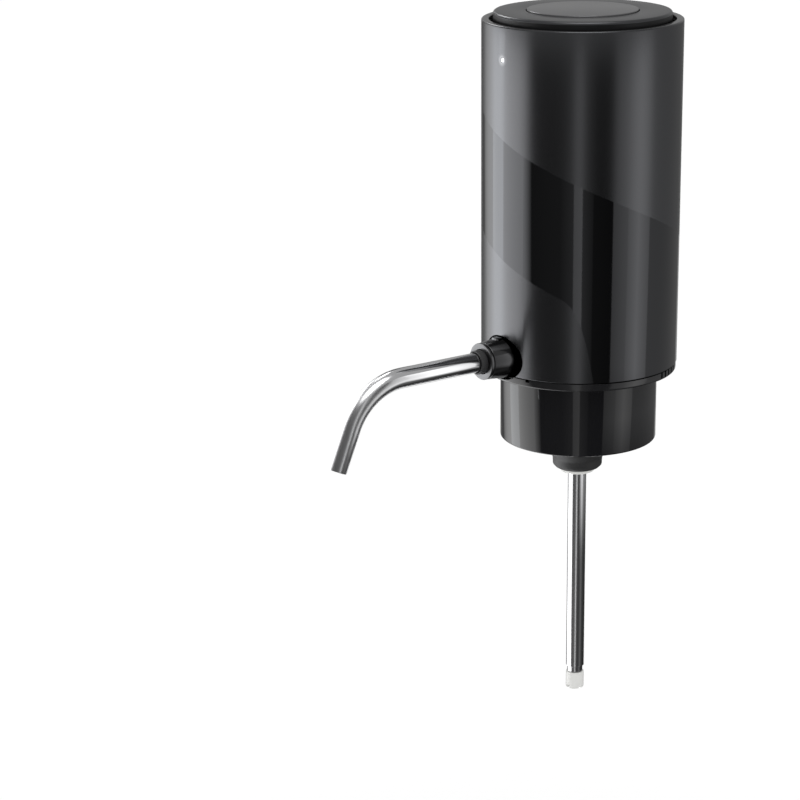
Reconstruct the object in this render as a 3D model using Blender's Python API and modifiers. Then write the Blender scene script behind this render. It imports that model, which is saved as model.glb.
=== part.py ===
"""Electric wine aerator, in metres, +Z up, with the spout towards -Y.

The origin lies on the body's axis, where the lip of the neck meets the stopper's flange.
Heights are measured from there, and spout lengths from the body's axis.
"""

import math

import bmesh
import bpy
from mathutils import Vector

# Clearances, in metres
FIT = 0.0003
SLIDE_FIT = 0.0001
SLEEVE_FIT = 0.00015
OVERRUN = 0.001
MERGE = 0.00001

# Faces round a turned piece
ROUND = 32
MEDIUM = 18
INNER = 16
SMALL = 12
TINY = 8
SCREW_SIDES = 6
SEAL_POINTS = 6
ARC_STEPS = 2

# Stopper and stem
FLANGE_RADIUS = 0.0145
FLANGE_THICKNESS = 0.0016
STOPPER_LENGTH = 0.030
STOPPER_ROOT_RADIUS = 0.0088
STOPPER_TIP_RADIUS = 0.0080
STOPPER_TIP_CHAMFER = 0.0010
FIN_COUNT = 4
FIN_HEIGHT = 0.0012
FIN_LAND = 0.0009
FIN_LEAD = 0.0024
FIN_FIRST = 0.0035
CORE_RADIUS = 0.0056
CORE_OVERHANG = 0.0015
CORE_ENGAGEMENT = 0.0030
CORE_GROOVE_DEPTH = 0.0009
CORE_GROOVE_WIDTH = 0.0014
WINE_BORE = 0.0015
AIR_BORE = 0.0007
AIR_BORE_OFFSET = 0.0046

# Telescopic straw
STRAW_RADIUS = 0.0030
STRAW_WALL = 0.00035
STRAW_LENGTH = 0.096
STRAW_TOP = 0.0040
STRAW_STEP = 0.0020
STRAW_TIP_LENGTH = 0.0057
STRAW_TIP_WALL = 0.0008
STRAW_TIP_SEAT = 0.0020
STRAW_TIP_NOTCH = 0.0012

# Collar
COLLAR_RADIUS = 0.0252
COLLAR_DROP = 0.0232
COLLAR_WALL = 0.0018
COLLAR_WEB = 0.0020
COLLAR_ROUND = 0.0005

# Base cover
BASE_FLOOR = 0.0016
BASE_RING_HEIGHT = 0.0024
BASE_RING_INSET = 0.00025
BASE_CHAMFER = 0.0006
BASE_PLUG_HEIGHT = 0.0050
BASE_PLUG_WALL = 0.0014
BASE_SCREW_SHARE = 0.576
BASE_BOSS_RADIUS = 0.0030
BASE_BOSS_HEIGHT = 0.0038
BASE_SINK_DEPTH = 0.0022
VENT_WIDTH = 0.0010
VENT_PITCH = math.radians(4.4)
VENT_MIDDLE = math.radians(117)
VENT_COUNT = 5

# Body
BODY_RADIUS = 0.03145
BODY_HEIGHT = 0.112
SHELL_WALL = 0.0016
RIM_WIDTH = 0.00235
RIM_DEPTH = 0.0018
RIM_ROUND = 0.0005
LED_DROP = 0.0103
LED_RADIUS = 0.0006

# Spout, its connector and its socket
SPOUT_HEIGHT = 0.0078
SPOUT_OPENING_HALF_WIDTH = 0.0092
SOCKET_RADIUS = 0.0068
SOCKET_INSET = 0.00215
SOCKET_LENGTH = 0.0103
SOCKET_WALL = 0.0012
SOCKET_BACK = 0.0020
SOCKET_FLANGE_HEIGHT = 0.0135
SOCKET_FLANGE_SETBACK = 0.0021
SOCKET_FLANGE_GAP = 0.0005
SOCKET_FLANGE_THICKNESS = 0.0014
CONE_BASE_RADIUS = 0.00675
CONE_FACE_RADIUS = 0.00585
CONE_LENGTH = 0.0099
FACE_RING = 0.0009
CONE_LUG_WIDTH = 0.0026
CONE_LUG_LENGTH = 0.0024
CONE_LUG_HEIGHT = 0.0006
PLUG_LENGTH = 0.0083
PLUG_GROOVE_WIDTH = 0.0015
PLUG_GROOVE_DEPTH = 0.0012
PLUG_GROOVE_BACK = 0.0028
TUBE_RADIUS = 0.0032
TUBE_WALL = 0.0005
TUBE_SEAT = 0.0140
TUBE_STRAIGHT = 0.0303
TUBE_BEND_RADIUS = 0.0210
TUBE_BEND_ANGLE = math.radians(67)
TUBE_BEND_STEPS = 8
TUBE_TAIL = 0.0136
SLEEVE_WALL = 0.00045
SLEEVE_PROUD = 0.0023
SLEEVE_SEAT = 0.0030

# Press plate
PLATE_GAP = 0.00125
PLATE_PROUD = 0.0024
PLATE_THICKNESS = 0.0018
PLATE_SKIRT_WALL = 0.0016
PLATE_SKIRT_HEIGHT = 0.0063
PLATE_EDGE = 0.0006
DISC_RADIUS = 0.01735
DISC_PROUD = 0.0004
DISC_INSET = 0.0009
DISC_EDGE = 0.0002
PRESS_TRAVEL = 0.0006
PRESS_PIN_RADIUS = 0.0020
HOOK_COUNT = 3
HOOK_INSET = 0.00575
HOOK_WIDTH = 0.0040
HOOK_THICKNESS = 0.0014
HOOK_LIP = 0.0009
HOOK_LIP_HEIGHT = 0.0012
SPRING_RADIUS = 0.0050
SPRING_WIRE = 0.0004
SPRING_TURNS = 3.5
SPRING_POINTS = 8

# Deck below the press plate
DECK_FLOOR = 0.0018
DECK_UPSTAND = 0.0011
DECK_PRESS_ROOM = 0.0007
DECK_GUIDE_RADIUS = 0.0034
DECK_GUIDE_HEIGHT = 0.0013
DECK_SCREW_INSET = 0.00225
DECK_SCREW_TURN = math.radians(60)

# Boards
BOARD_GAP = 0.00285
BOARD_THICKNESS = 0.0016
BOARD_DROP = 0.0106
BOARD_ROOM = 0.0060
SWITCH_SIZE = 0.0062
SWITCH_HEIGHT = 0.0036
SWITCH_STEM_RADIUS = 0.0016
SWITCH_STEM_SEAT = 0.0012
SWITCH_STEM_SINK = 0.0020
CHIP_SIZE = 0.0070
CHIP_HEIGHT = 0.0012
CHIP_OFFSET = 0.0120
LED_CHIP_WIDTH = 0.0020
LED_CHIP_HEIGHT = 0.0012
LED_CHIP_DEPTH = 0.00645
PIPE_BEND_RADIUS = 0.0022
PIPE_BEND_STEPS = 4
CHARGE_BOARD_GAP = 0.0005
CHARGE_BOARD_FRONT_GAP = 0.0010
CHARGE_BOARD_BACK_GAP = 0.0040
CHARGE_BOARD_THICKNESS = 0.0012
CHARGE_BOARD_HEIGHT = 0.0078
CHARGE_POST_RADIUS = 0.0016
CHARGE_POST_INSET = 0.0014
CHARGE_POST_SETBACK = 0.0042
PORT_HALF_WIDTH = 0.0045
PORT_HEIGHT = 0.0032
PORT_LENGTH = 0.0073
PORT_WALL = 0.0003
PORT_TONGUE_HALF_WIDTH = 0.0033
PORT_TONGUE_THICKNESS = 0.0007
PORT_TONGUE_SETBACK = 0.0010
PORT_BACK = 0.0014

# Manifold and hoses
MANIFOLD_RADIUS = 0.0082
MANIFOLD_HEIGHT = 0.0095
MANIFOLD_ARM_WIDTH = 0.0034
MANIFOLD_ARM_HEIGHT = 0.0030
MANIFOLD_BOSS_RADIUS = 0.0030
MANIFOLD_BOSS_HEIGHT = 0.0053
NIPPLE_RADIUS = 0.0018
NIPPLE_BORE = 0.0011
NIPPLE_LENGTH = 0.0034
WINE_NIPPLE_SHARE = 0.31
AIR_NIPPLE_SHARE = 0.62
HOSE_WALL = 0.0010
AIR_HOSE_BEND = 0.0046
AIR_HOSE_STEPS = 6

# Inner frame
FRAME_LOWER_DECK = 0.0171
FRAME_DECK = 0.0020
FRAME_RIB = 0.0016
FRAME_RIB_SHARES = (0.34, 0.70)
FRAME_SPINE_WALL = 0.0020
FRAME_SPINE_HALF_WIDTH = 0.0200
FRAME_POST_RADIUS = 0.0022
FRAME_BOARD_POST_RADIUS = 0.0026
FRAME_SHOULDER_RADIUS = 0.0036
FRAME_MOUTH_SHARE = 0.72

# Battery cell
CELL_RADIUS = 0.0092
CELL_EDGE = 0.0006
CELL_NUB_RADIUS = 0.0028
CELL_NUB_HEIGHT = 0.0007
CELL_MARGIN_SHARE = 0.20

# Pump and motor, stacked upwards on the frame's lower deck
PUMP_MARGIN_SHARE = 0.18
PUMP_RADIUS = 0.0132
PUMP_HEAD_HEIGHT = 0.0080
PUMP_HEAD_WALL = 0.0016
PUMP_HEAD_CAVITY = 0.0090
PUMP_SCREW_CIRCLE = 0.0108
NOZZLE_OFFSET = 0.0045
VALVE_THICKNESS = 0.0016
VALVE_HOLE = 0.0007
VALVE_HOLE_CIRCLE = 0.0022
DIAPHRAGM_THICKNESS = 0.0012
CUP_COUNT = 3
CUP_CIRCLE = 0.0056
CUP_RADIUS = 0.0030
CUP_WALL = 0.0007
CUP_HEIGHT = 0.0036
CUP_STEM_RADIUS = 0.0008
CUP_STEM_LENGTH = 0.0030
WOBBLE_HUB_RADIUS = 0.0034
WOBBLE_HUB_HEIGHT = 0.0042
WOBBLE_THICKNESS = 0.0010
WOBBLE_ARM_WIDTH = 0.0030
WOBBLE_PAD_RADIUS = 0.0023
BRACKET_HEIGHT = 0.0155
BRACKET_WALL = 0.0014
BRACKET_TOP = 0.0016
BRACKET_WINDOW_WIDTH = 0.0100
BRACKET_WINDOW_SILL = 0.0040
CRANK_RADIUS = 0.0048
CRANK_HEIGHT = 0.0046
CRANK_GAP = 0.0010
CRANK_PIN_RADIUS = 0.0006
CRANK_PIN_OFFSET = 0.0014
CRANK_PIN_LENGTH = 0.0034
MOTOR_RADIUS = 0.0122
MOTOR_HEADROOM = 0.0031
MOTOR_WALL = 0.0008
MAGNET_THICKNESS = 0.0022
MAGNET_LENGTH_SHARE = 0.64
MAGNET_GAP_WIDTH = 0.0060
ARMATURE_RADIUS = 0.0078
ARMATURE_POLES = 3
ARMATURE_SLOT_WIDTH = 0.0030
ARMATURE_SLOT_DEPTH = 0.0042
COMMUTATOR_RADIUS = 0.0030
COMMUTATOR_SHARES = (0.12, 0.60)
SHAFT_RADIUS = 0.0010
END_CAP_THICKNESS = 0.0022
END_CAP_PLUG = 0.0014
END_CAP_TAB_WIDTH = 0.0024
END_CAP_TAB_THICKNESS = 0.0006
END_CAP_TAB_HEIGHT = 0.0026
END_CAP_TAB_OFFSET = 0.0070

# Screws
SCREW_COUNT = 3
SCREW_SHANK = 0.0009
SCREW_HEAD = 0.0017
SCREW_HEAD_HEIGHT = 0.0011
COLLAR_SCREW_LENGTH = 0.0078
BASE_SCREW_LENGTH = 0.0095
DECK_SCREW_LENGTH = 0.0080
PUMP_SCREW_LENGTH = 0.0150

# Heights that follow from the sizes above
WEB_LOW = FLANGE_THICKNESS + FIT
WEB_HIGH = WEB_LOW + COLLAR_WEB
BASE_LOW = WEB_HIGH + FIT
FLOOR_HIGH = BASE_LOW + BASE_FLOOR
RING_HIGH = BASE_LOW + BASE_RING_HEIGHT
SHELL_LOW = RING_HIGH + FIT
RIM_HIGH = BASE_LOW + BODY_HEIGHT
LIP_LOW = RIM_HIGH - RIM_DEPTH
COLLAR_LOW = BASE_LOW - COLLAR_DROP
SPOUT_Z = BASE_LOW + SPOUT_HEIGHT
LED_Z = RIM_HIGH - LED_DROP
PLATE_HIGH = RIM_HIGH + PLATE_PROUD
PLATE_LOW = PLATE_HIGH - PLATE_THICKNESS
SKIRT_LOW = PLATE_HIGH - PLATE_SKIRT_HEIGHT
DECK_HIGH = SKIRT_LOW - PRESS_TRAVEL - DECK_PRESS_ROOM
DECK_LOW = DECK_HIGH - DECK_FLOOR
BOARD_HIGH = DECK_LOW - BOARD_DROP
BOARD_LOW = BOARD_HIGH - BOARD_THICKNESS
SWITCH_LOW = BOARD_HIGH + FIT
SWITCH_HIGH = SWITCH_LOW + SWITCH_HEIGHT
STEM_HIGH = DECK_LOW - SWITCH_STEM_SEAT
MANIFOLD_LOW = FLOOR_HIGH + FIT
MANIFOLD_HIGH = MANIFOLD_LOW + MANIFOLD_HEIGHT
CORE_HIGH = MANIFOLD_LOW + CORE_ENGAGEMENT - FIT
CORE_LOW = -STOPPER_LENGTH - CORE_OVERHANG
FRAME_LOW = BASE_LOW + FRAME_LOWER_DECK
FRAME_FLOOR = FRAME_LOW + FRAME_DECK
FRAME_TOP_HIGH = BOARD_LOW - BOARD_ROOM
FRAME_TOP_LOW = FRAME_TOP_HIGH - FRAME_DECK
CELL_LOW = FRAME_FLOOR + FIT
CELL_HIGH = FRAME_TOP_LOW - FIT - CELL_NUB_HEIGHT
HEAD_LOW = FRAME_FLOOR + FIT
HEAD_HIGH = HEAD_LOW + PUMP_HEAD_HEIGHT
VALVE_LOW = HEAD_HIGH + FIT
VALVE_HIGH = VALVE_LOW + VALVE_THICKNESS
DIAPHRAGM_LOW = VALVE_HIGH + FIT
DIAPHRAGM_HIGH = DIAPHRAGM_LOW + DIAPHRAGM_THICKNESS
BRACKET_LOW = DIAPHRAGM_HIGH + FIT
BRACKET_HIGH = BRACKET_LOW + BRACKET_HEIGHT
MOTOR_LOW = BRACKET_HIGH + FIT
MOTOR_HIGH = FRAME_TOP_LOW - MOTOR_HEADROOM - END_CAP_TAB_HEIGHT - END_CAP_THICKNESS
MAGNET_LOW = MOTOR_LOW + MOTOR_WALL + FIT
MAGNET_HIGH = MAGNET_LOW + MAGNET_LENGTH_SHARE * (MOTOR_HIGH - MOTOR_LOW)
STEM_TIP = DIAPHRAGM_HIGH + CUP_HEIGHT + CUP_STEM_LENGTH
WOBBLE_LOW = DIAPHRAGM_HIGH + CUP_HEIGHT + FIT
CRANK_HIGH = BRACKET_HIGH - BRACKET_TOP - CRANK_GAP
CRANK_LOW = CRANK_HIGH - CRANK_HEIGHT
CHARGE_BOARD_LOW = BASE_LOW + CHARGE_BOARD_HEIGHT
CHARGE_BOARD_HIGH = CHARGE_BOARD_LOW + CHARGE_BOARD_THICKNESS
PORT_LOW = CHARGE_BOARD_HIGH + FIT
PORT_HIGH = PORT_LOW + PORT_HEIGHT

# Radii and reaches that follow
SHELL_INNER = BODY_RADIUS - SHELL_WALL
RIM_INNER = BODY_RADIUS - RIM_WIDTH
CORE_HOLE = CORE_RADIUS + FIT
FRAME_RADIUS = SHELL_INNER - FIT
BASE_PLUG_INNER = FRAME_RADIUS - BASE_PLUG_WALL
SHANK_HOLE = SCREW_SHANK + FIT
SOCKET_REACH = BODY_RADIUS - SOCKET_INSET
SOCKET_BACK_REACH = SOCKET_REACH - SOCKET_LENGTH
SOCKET_CLEAR = SOCKET_RADIUS + FIT
SOCKET_FLANGE_REACH = SOCKET_REACH - SOCKET_FLANGE_SETBACK
SOCKET_FLANGE_HALF_WIDTH = math.sqrt((SHELL_INNER - SOCKET_FLANGE_GAP) ** 2 - SOCKET_FLANGE_REACH**2)
CONE_BACK = SOCKET_REACH + FIT
CONE_REACH = CONE_BACK + CONE_LENGTH
TUBE_END = CONE_REACH - TUBE_SEAT
TUBE_BEND_START = CONE_REACH + TUBE_STRAIGHT
PLUG_RADIUS = SOCKET_RADIUS - SOCKET_WALL - FIT
PLUG_BACK = CONE_BACK - PLUG_LENGTH
PLATE_RADIUS = RIM_INNER - PLATE_GAP
SKIRT_INNER = PLATE_RADIUS - PLATE_SKIRT_WALL
HOOK_CIRCLE = SKIRT_INNER - HOOK_INSET
DECK_SCREW_CIRCLE = SKIRT_INNER - DECK_SCREW_INSET
BOARD_RADIUS = SHELL_INNER - BOARD_GAP
LED_CHIP_REACH = BODY_RADIUS - LED_CHIP_DEPTH
HOSE_INNER = NIPPLE_RADIUS + FIT
HOSE_RADIUS = HOSE_INNER + HOSE_WALL

# Places inside the body: screws between what they pass, and pump and cell side by side
COLLAR_SCREW_CIRCLE = (FLANGE_RADIUS + COLLAR_RADIUS - COLLAR_WALL) / 2
BASE_SCREW_LEAST = 2 * (SOCKET_RADIUS + FRAME_POST_RADIUS + FIT)
BASE_SCREW_MOST = BASE_PLUG_INNER - BASE_BOSS_RADIUS - FIT
BASE_SCREW_CIRCLE = BASE_SCREW_LEAST + BASE_SCREW_SHARE * (BASE_SCREW_MOST - BASE_SCREW_LEAST)
SIDE_ROOM = 2 * (FRAME_RADIUS - CELL_RADIUS - PUMP_RADIUS)
PUMP_PLACE = FRAME_RADIUS - PUMP_RADIUS - PUMP_MARGIN_SHARE * SIDE_ROOM
CELL_PLACE = FRAME_RADIUS - CELL_RADIUS - CELL_MARGIN_SHARE * SIDE_ROOM
FRAME_SPINE_PLACE = (PUMP_RADIUS - PUMP_PLACE + CELL_PLACE - CELL_RADIUS) / 2
NOZZLE_X = -PUMP_PLACE - NOZZLE_OFFSET
WINE_NIPPLE = WINE_NIPPLE_SHARE * (SOCKET_BACK_REACH - MANIFOLD_RADIUS)
AIR_NIPPLE = AIR_NIPPLE_SHARE * (-NOZZLE_X - AIR_HOSE_BEND - MANIFOLD_RADIUS)
PORT_FRONT = math.sqrt(SHELL_INNER**2 - PORT_HALF_WIDTH**2) - FIT
CHARGE_BOARD_HALF_WIDTH = BASE_SCREW_CIRCLE / 2 - FRAME_POST_RADIUS - CHARGE_BOARD_GAP
CHARGE_POST_OFFSET = CHARGE_BOARD_HALF_WIDTH - CHARGE_POST_INSET
CHARGE_POST_REACH = PORT_FRONT - CHARGE_POST_SETBACK

for left_over in list(bpy.data.objects):
    bpy.data.objects.remove(left_over, do_unlink=True)

aerator = bpy.data.collections.new("wine_aerator")
cutters = bpy.data.collections.new("cutters")
bpy.context.scene.collection.children.link(aerator)
bpy.context.scene.collection.children.link(cutters)
cutters.hide_render = True


def material(name, colour, roughness, metallic=0.0):
    made = bpy.data.materials.new(name)
    made.use_nodes = True
    shader = made.node_tree.nodes["Principled BSDF"]
    shader.inputs["Base Color"].default_value = (*colour, 1.0)
    shader.inputs["Roughness"].default_value = roughness
    shader.inputs["Metallic"].default_value = metallic
    made.diffuse_color = (*colour, 1.0)
    return made


GUNMETAL = material("satin_gunmetal", (0.05, 0.05, 0.055), 0.32, 0.9)
GLOSS_BLACK = material("gloss_black", (0.012, 0.012, 0.013), 0.12)
SATIN_GREY = material("satin_grey", (0.16, 0.16, 0.165), 0.42, 0.6)
POLISHED_STEEL = material("polished_steel", (0.75, 0.75, 0.76), 0.06, 1.0)
SILICONE = material("black_silicone", (0.02, 0.02, 0.02), 0.6)
CLEAR_SILICONE = material("clear_silicone", (0.72, 0.74, 0.76), 0.3)
BLACK_PLASTIC = material("black_plastic", (0.03, 0.03, 0.03), 0.5)
WHITE_PLASTIC = material("white_plastic", (0.75, 0.75, 0.73), 0.45)
GREEN_BOARD = material("green_board", (0.03, 0.16, 0.07), 0.4)
LED_LENS = material("led_lens", (0.9, 0.93, 1.0), 0.1)
CELL_WRAP = material("cell_wrap", (0.05, 0.22, 0.45), 0.35)
ZINC_STEEL = material("zinc_steel", (0.55, 0.56, 0.58), 0.28, 1.0)
IRON = material("soft_iron", (0.32, 0.31, 0.3), 0.4, 1.0)
FERRITE = material("ferrite", (0.06, 0.06, 0.065), 0.7)
BRASS = material("brass", (0.7, 0.5, 0.2), 0.3, 1.0)


def put(name, mesh, finish=None, parent=None, place=(0, 0, 0), turn=(0, 0, 0)):
    """An object for a mesh: a piece where it has a finish, and a cutter where it has none."""
    piece = bpy.data.objects.new(name, mesh)
    if finish is None:
        cutters.objects.link(piece)
        piece.hide_render = True
        piece.display_type = "WIRE"
    else:
        aerator.objects.link(piece)
        mesh.materials.append(finish)
    piece.parent = parent
    piece.location = place
    piece.rotation_euler = turn
    return piece


def pivot(name, place, turn=(0, 0, 0)):
    """An empty on the axis of a joint."""
    made = bpy.data.objects.new(name, None)
    aerator.objects.link(made)
    made.location = place
    made.rotation_euler = turn
    return made


def lathe(name, outline, finish=None, parent=None, place=(0, 0, 0), turn=(0, 0, 0), steps=MEDIUM):
    """Turns an outline of (radius, height) points, clockwise from the top of its inner side."""
    mesh = bpy.data.meshes.new(name)
    last = len(outline) - 1
    edges = [(i, i + 1) for i in range(last)]
    if outline[0][0] > 0:
        edges.append((last, 0))
    mesh.from_pydata([(radius, 0, height) for radius, height in outline], edges, [])
    piece = put(name, mesh, finish, parent, place, turn)
    screw = piece.modifiers.new("turn", "SCREW")
    screw.steps = screw.render_steps = steps
    screw.use_merge_vertices = True
    screw.merge_threshold = MERGE
    return piece


def rod(name, radius, start, end, finish=None, parent=None, sides=TINY, end_radius=None):
    """A straight bar or cone between two points."""
    start, end = Vector(start), Vector(end)
    length = (end - start).length
    form = bmesh.new()
    bmesh.ops.create_cone(
        form,
        cap_ends=True,
        segments=sides,
        radius1=radius,
        radius2=radius if end_radius is None else end_radius,
        depth=length,
    )
    bmesh.ops.translate(form, verts=form.verts, vec=(0, 0, length / 2))
    mesh = bpy.data.meshes.new(name)
    form.to_mesh(mesh)
    form.free()
    turn = (end - start).to_track_quat("Z", "Y").to_euler()
    return put(name, mesh, finish, parent, start, turn)


def block(name, low, high, finish=None, parent=None, place=(0, 0, 0), turn=(0, 0, 0)):
    """A box between its lowest and its highest corner, turned about place."""
    low, high = Vector(low), Vector(high)
    form = bmesh.new()
    bmesh.ops.create_cube(form, size=1)
    bmesh.ops.scale(form, verts=form.verts, vec=high - low)
    bmesh.ops.translate(form, verts=form.verts, vec=(low + high) / 2)
    mesh = bpy.data.meshes.new(name)
    form.to_mesh(mesh)
    form.free()
    return put(name, mesh, finish, parent, place, turn)


def path_tube(name, points, radius, finish=None, parent=None, resolution=2):
    """A round bar along a path, made a mesh so that it can be bored."""
    curve = bpy.data.curves.new(name, "CURVE")
    curve.dimensions = "3D"
    curve.bevel_depth = radius
    curve.bevel_resolution = resolution
    curve.use_fill_caps = True
    spline = curve.splines.new("POLY")
    spline.points.add(len(points) - 1)
    for point, place in zip(spline.points, points):
        point.co = (*place, 1)
    guide = bpy.data.objects.new(name + "_path", curve)
    bpy.context.scene.collection.objects.link(guide)
    evaluated = guide.evaluated_get(bpy.context.evaluated_depsgraph_get())
    mesh = bpy.data.meshes.new_from_object(evaluated)
    bpy.data.objects.remove(guide, do_unlink=True)
    form = bmesh.new()
    form.from_mesh(mesh)
    bmesh.ops.remove_doubles(form, verts=form.verts, dist=MERGE)
    form.to_mesh(mesh)
    form.free()
    mesh.materials.clear()
    return put(name, mesh, finish, parent)


def change(piece, tool, operation="DIFFERENCE"):
    step = piece.modifiers.new(tool.name, "BOOLEAN")
    step.operation = operation
    step.solver = "EXACT"
    step.object = tool


def cut(piece, tool):
    change(piece, tool)


def join(piece, tool):
    change(piece, tool, "UNION")


def bevel(piece, width, segments=2):
    step = piece.modifiers.new("edges", "BEVEL")
    step.width = width
    step.segments = segments
    step.limit_method = "ANGLE"


def arc(centre_radius, centre_height, radius, start, end, steps=ARC_STEPS):
    """Points of an arc in a turned outline, between two angles in degrees."""
    points = []
    for step in range(steps + 1):
        angle = math.radians(start + (end - start) * step / steps)
        points.append((centre_radius + radius * math.cos(angle), centre_height + radius * math.sin(angle)))
    return points


def ring_outline(inner, outer, low, high):
    return [(inner, high), (outer, high), (outer, low), (inner, low)]


def round_outline(radius, low, high):
    return [(0, high), (radius, high), (radius, low), (0, low)]


def around(radius, angle, height=0.0):
    """A point at an azimuth that is counted from the spout's side, towards +X."""
    return Vector((radius * math.sin(angle), -radius * math.cos(angle), height))


def screw(name, place, length, upwards=True):
    """A screw whose head's bearing face is at place."""
    turn = (0, 0, 0) if upwards else (math.pi, 0, 0)
    outline = [
        (0, length),
        (SCREW_SHANK, length),
        (SCREW_SHANK, 0),
        (SCREW_HEAD, 0),
        (SCREW_HEAD, -SCREW_HEAD_HEIGHT),
        (0, -SCREW_HEAD_HEIGHT),
    ]
    return lathe(name, outline, ZINC_STEEL, place=place, turn=turn, steps=SCREW_SIDES)


def seal_ring(name, groove_radius, bore_radius, height, parent=None):
    """An O-ring that fills the space between its groove and the bore round it."""
    thickness = (bore_radius - groove_radius) / 2 - SLIDE_FIT
    outline = arc((bore_radius + groove_radius) / 2, height, thickness, 180, -180, SEAL_POINTS)[:-1]
    return lathe(name, outline, SILICONE, parent=parent, steps=MEDIUM)


def circle_angles(count, first=0.0):
    return [first + math.tau * step / count for step in range(count)]


BASE_SCREW_ANGLES = circle_angles(SCREW_COUNT, math.pi / 2)
COLLAR_SCREW_ANGLES = circle_angles(SCREW_COUNT, math.pi / 3)
DECK_SCREW_ANGLES = circle_angles(SCREW_COUNT, DECK_SCREW_TURN)
HOOK_ANGLES = circle_angles(HOOK_COUNT)
PUMP_SCREW_ANGLES = circle_angles(SCREW_COUNT, math.pi / 2)
CUP_ANGLES = circle_angles(CUP_COUNT, math.pi / 2 + math.pi / CUP_COUNT)

spout_swivel = pivot("spout_swivel", (0, 0, SPOUT_Z), (math.pi / 2, 0, 0))
press = pivot("press", (0, 0, PLATE_LOW))
motor_axis = pivot("motor_axis", (-PUMP_PLACE, 0, 0))
middle_slide = pivot("straw_middle_slide", (0, 0, 0))
lower_slide = pivot("straw_lower_slide", (0, 0, 0))


def front_opening(name, reach):
    """The oval mouth round the connector, cut through the wall at the front."""
    outside = (0, -BODY_RADIUS - OVERRUN, SPOUT_Z)
    tool = rod(name, SOCKET_CLEAR, outside, (0, -reach, SPOUT_Z), sides=MEDIUM)
    tool.scale = (SPOUT_OPENING_HALF_WIDTH / SOCKET_CLEAR, 1, 1)
    return tool


def make_outer_shell():
    outline = arc(RIM_INNER + RIM_ROUND, RIM_HIGH - RIM_ROUND, RIM_ROUND, 180, 90)
    outline += arc(BODY_RADIUS - RIM_ROUND, RIM_HIGH - RIM_ROUND, RIM_ROUND, 90, 0)
    outline += [
        (BODY_RADIUS, SHELL_LOW),
        (SHELL_INNER, SHELL_LOW),
        (SHELL_INNER, LIP_LOW),
        (RIM_INNER, LIP_LOW),
    ]
    shell = lathe("outer_shell", outline, GUNMETAL, steps=ROUND)
    cut(shell, front_opening("shell_spout_mouth", SHELL_INNER - SHELL_WALL))
    led_out, led_in = -BODY_RADIUS - OVERRUN, -SHELL_INNER + OVERRUN
    cut(shell, rod("shell_led_hole", LED_RADIUS + FIT, (0, led_out, LED_Z), (0, led_in, LED_Z)))
    half_height = PORT_HEIGHT / 2 + FIT
    half_width = PORT_HALF_WIDTH + FIT
    middle = (PORT_LOW + PORT_HIGH) / 2
    port = block(
        "shell_port_mouth",
        (-half_width, SHELL_INNER - SHELL_WALL, middle - half_height),
        (half_width, BODY_RADIUS + OVERRUN, middle + half_height),
    )
    round_upright_ends(port, half_height)
    cut(shell, port)


def round_upright_ends(piece, radius):
    """Rounds the four edges that run along Y, which turns a box into a slot."""
    form = bmesh.new()
    form.from_mesh(piece.data)
    edges = [edge for edge in form.edges if abs(edge.verts[0].co.y - edge.verts[1].co.y) > radius]
    bmesh.ops.bevel(
        form,
        geom=edges,
        offset=radius - MERGE,
        segments=ARC_STEPS,
        profile=0.5,
        affect="EDGES",
        clamp_overlap=True,
    )
    form.to_mesh(piece.data)
    form.free()


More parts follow.
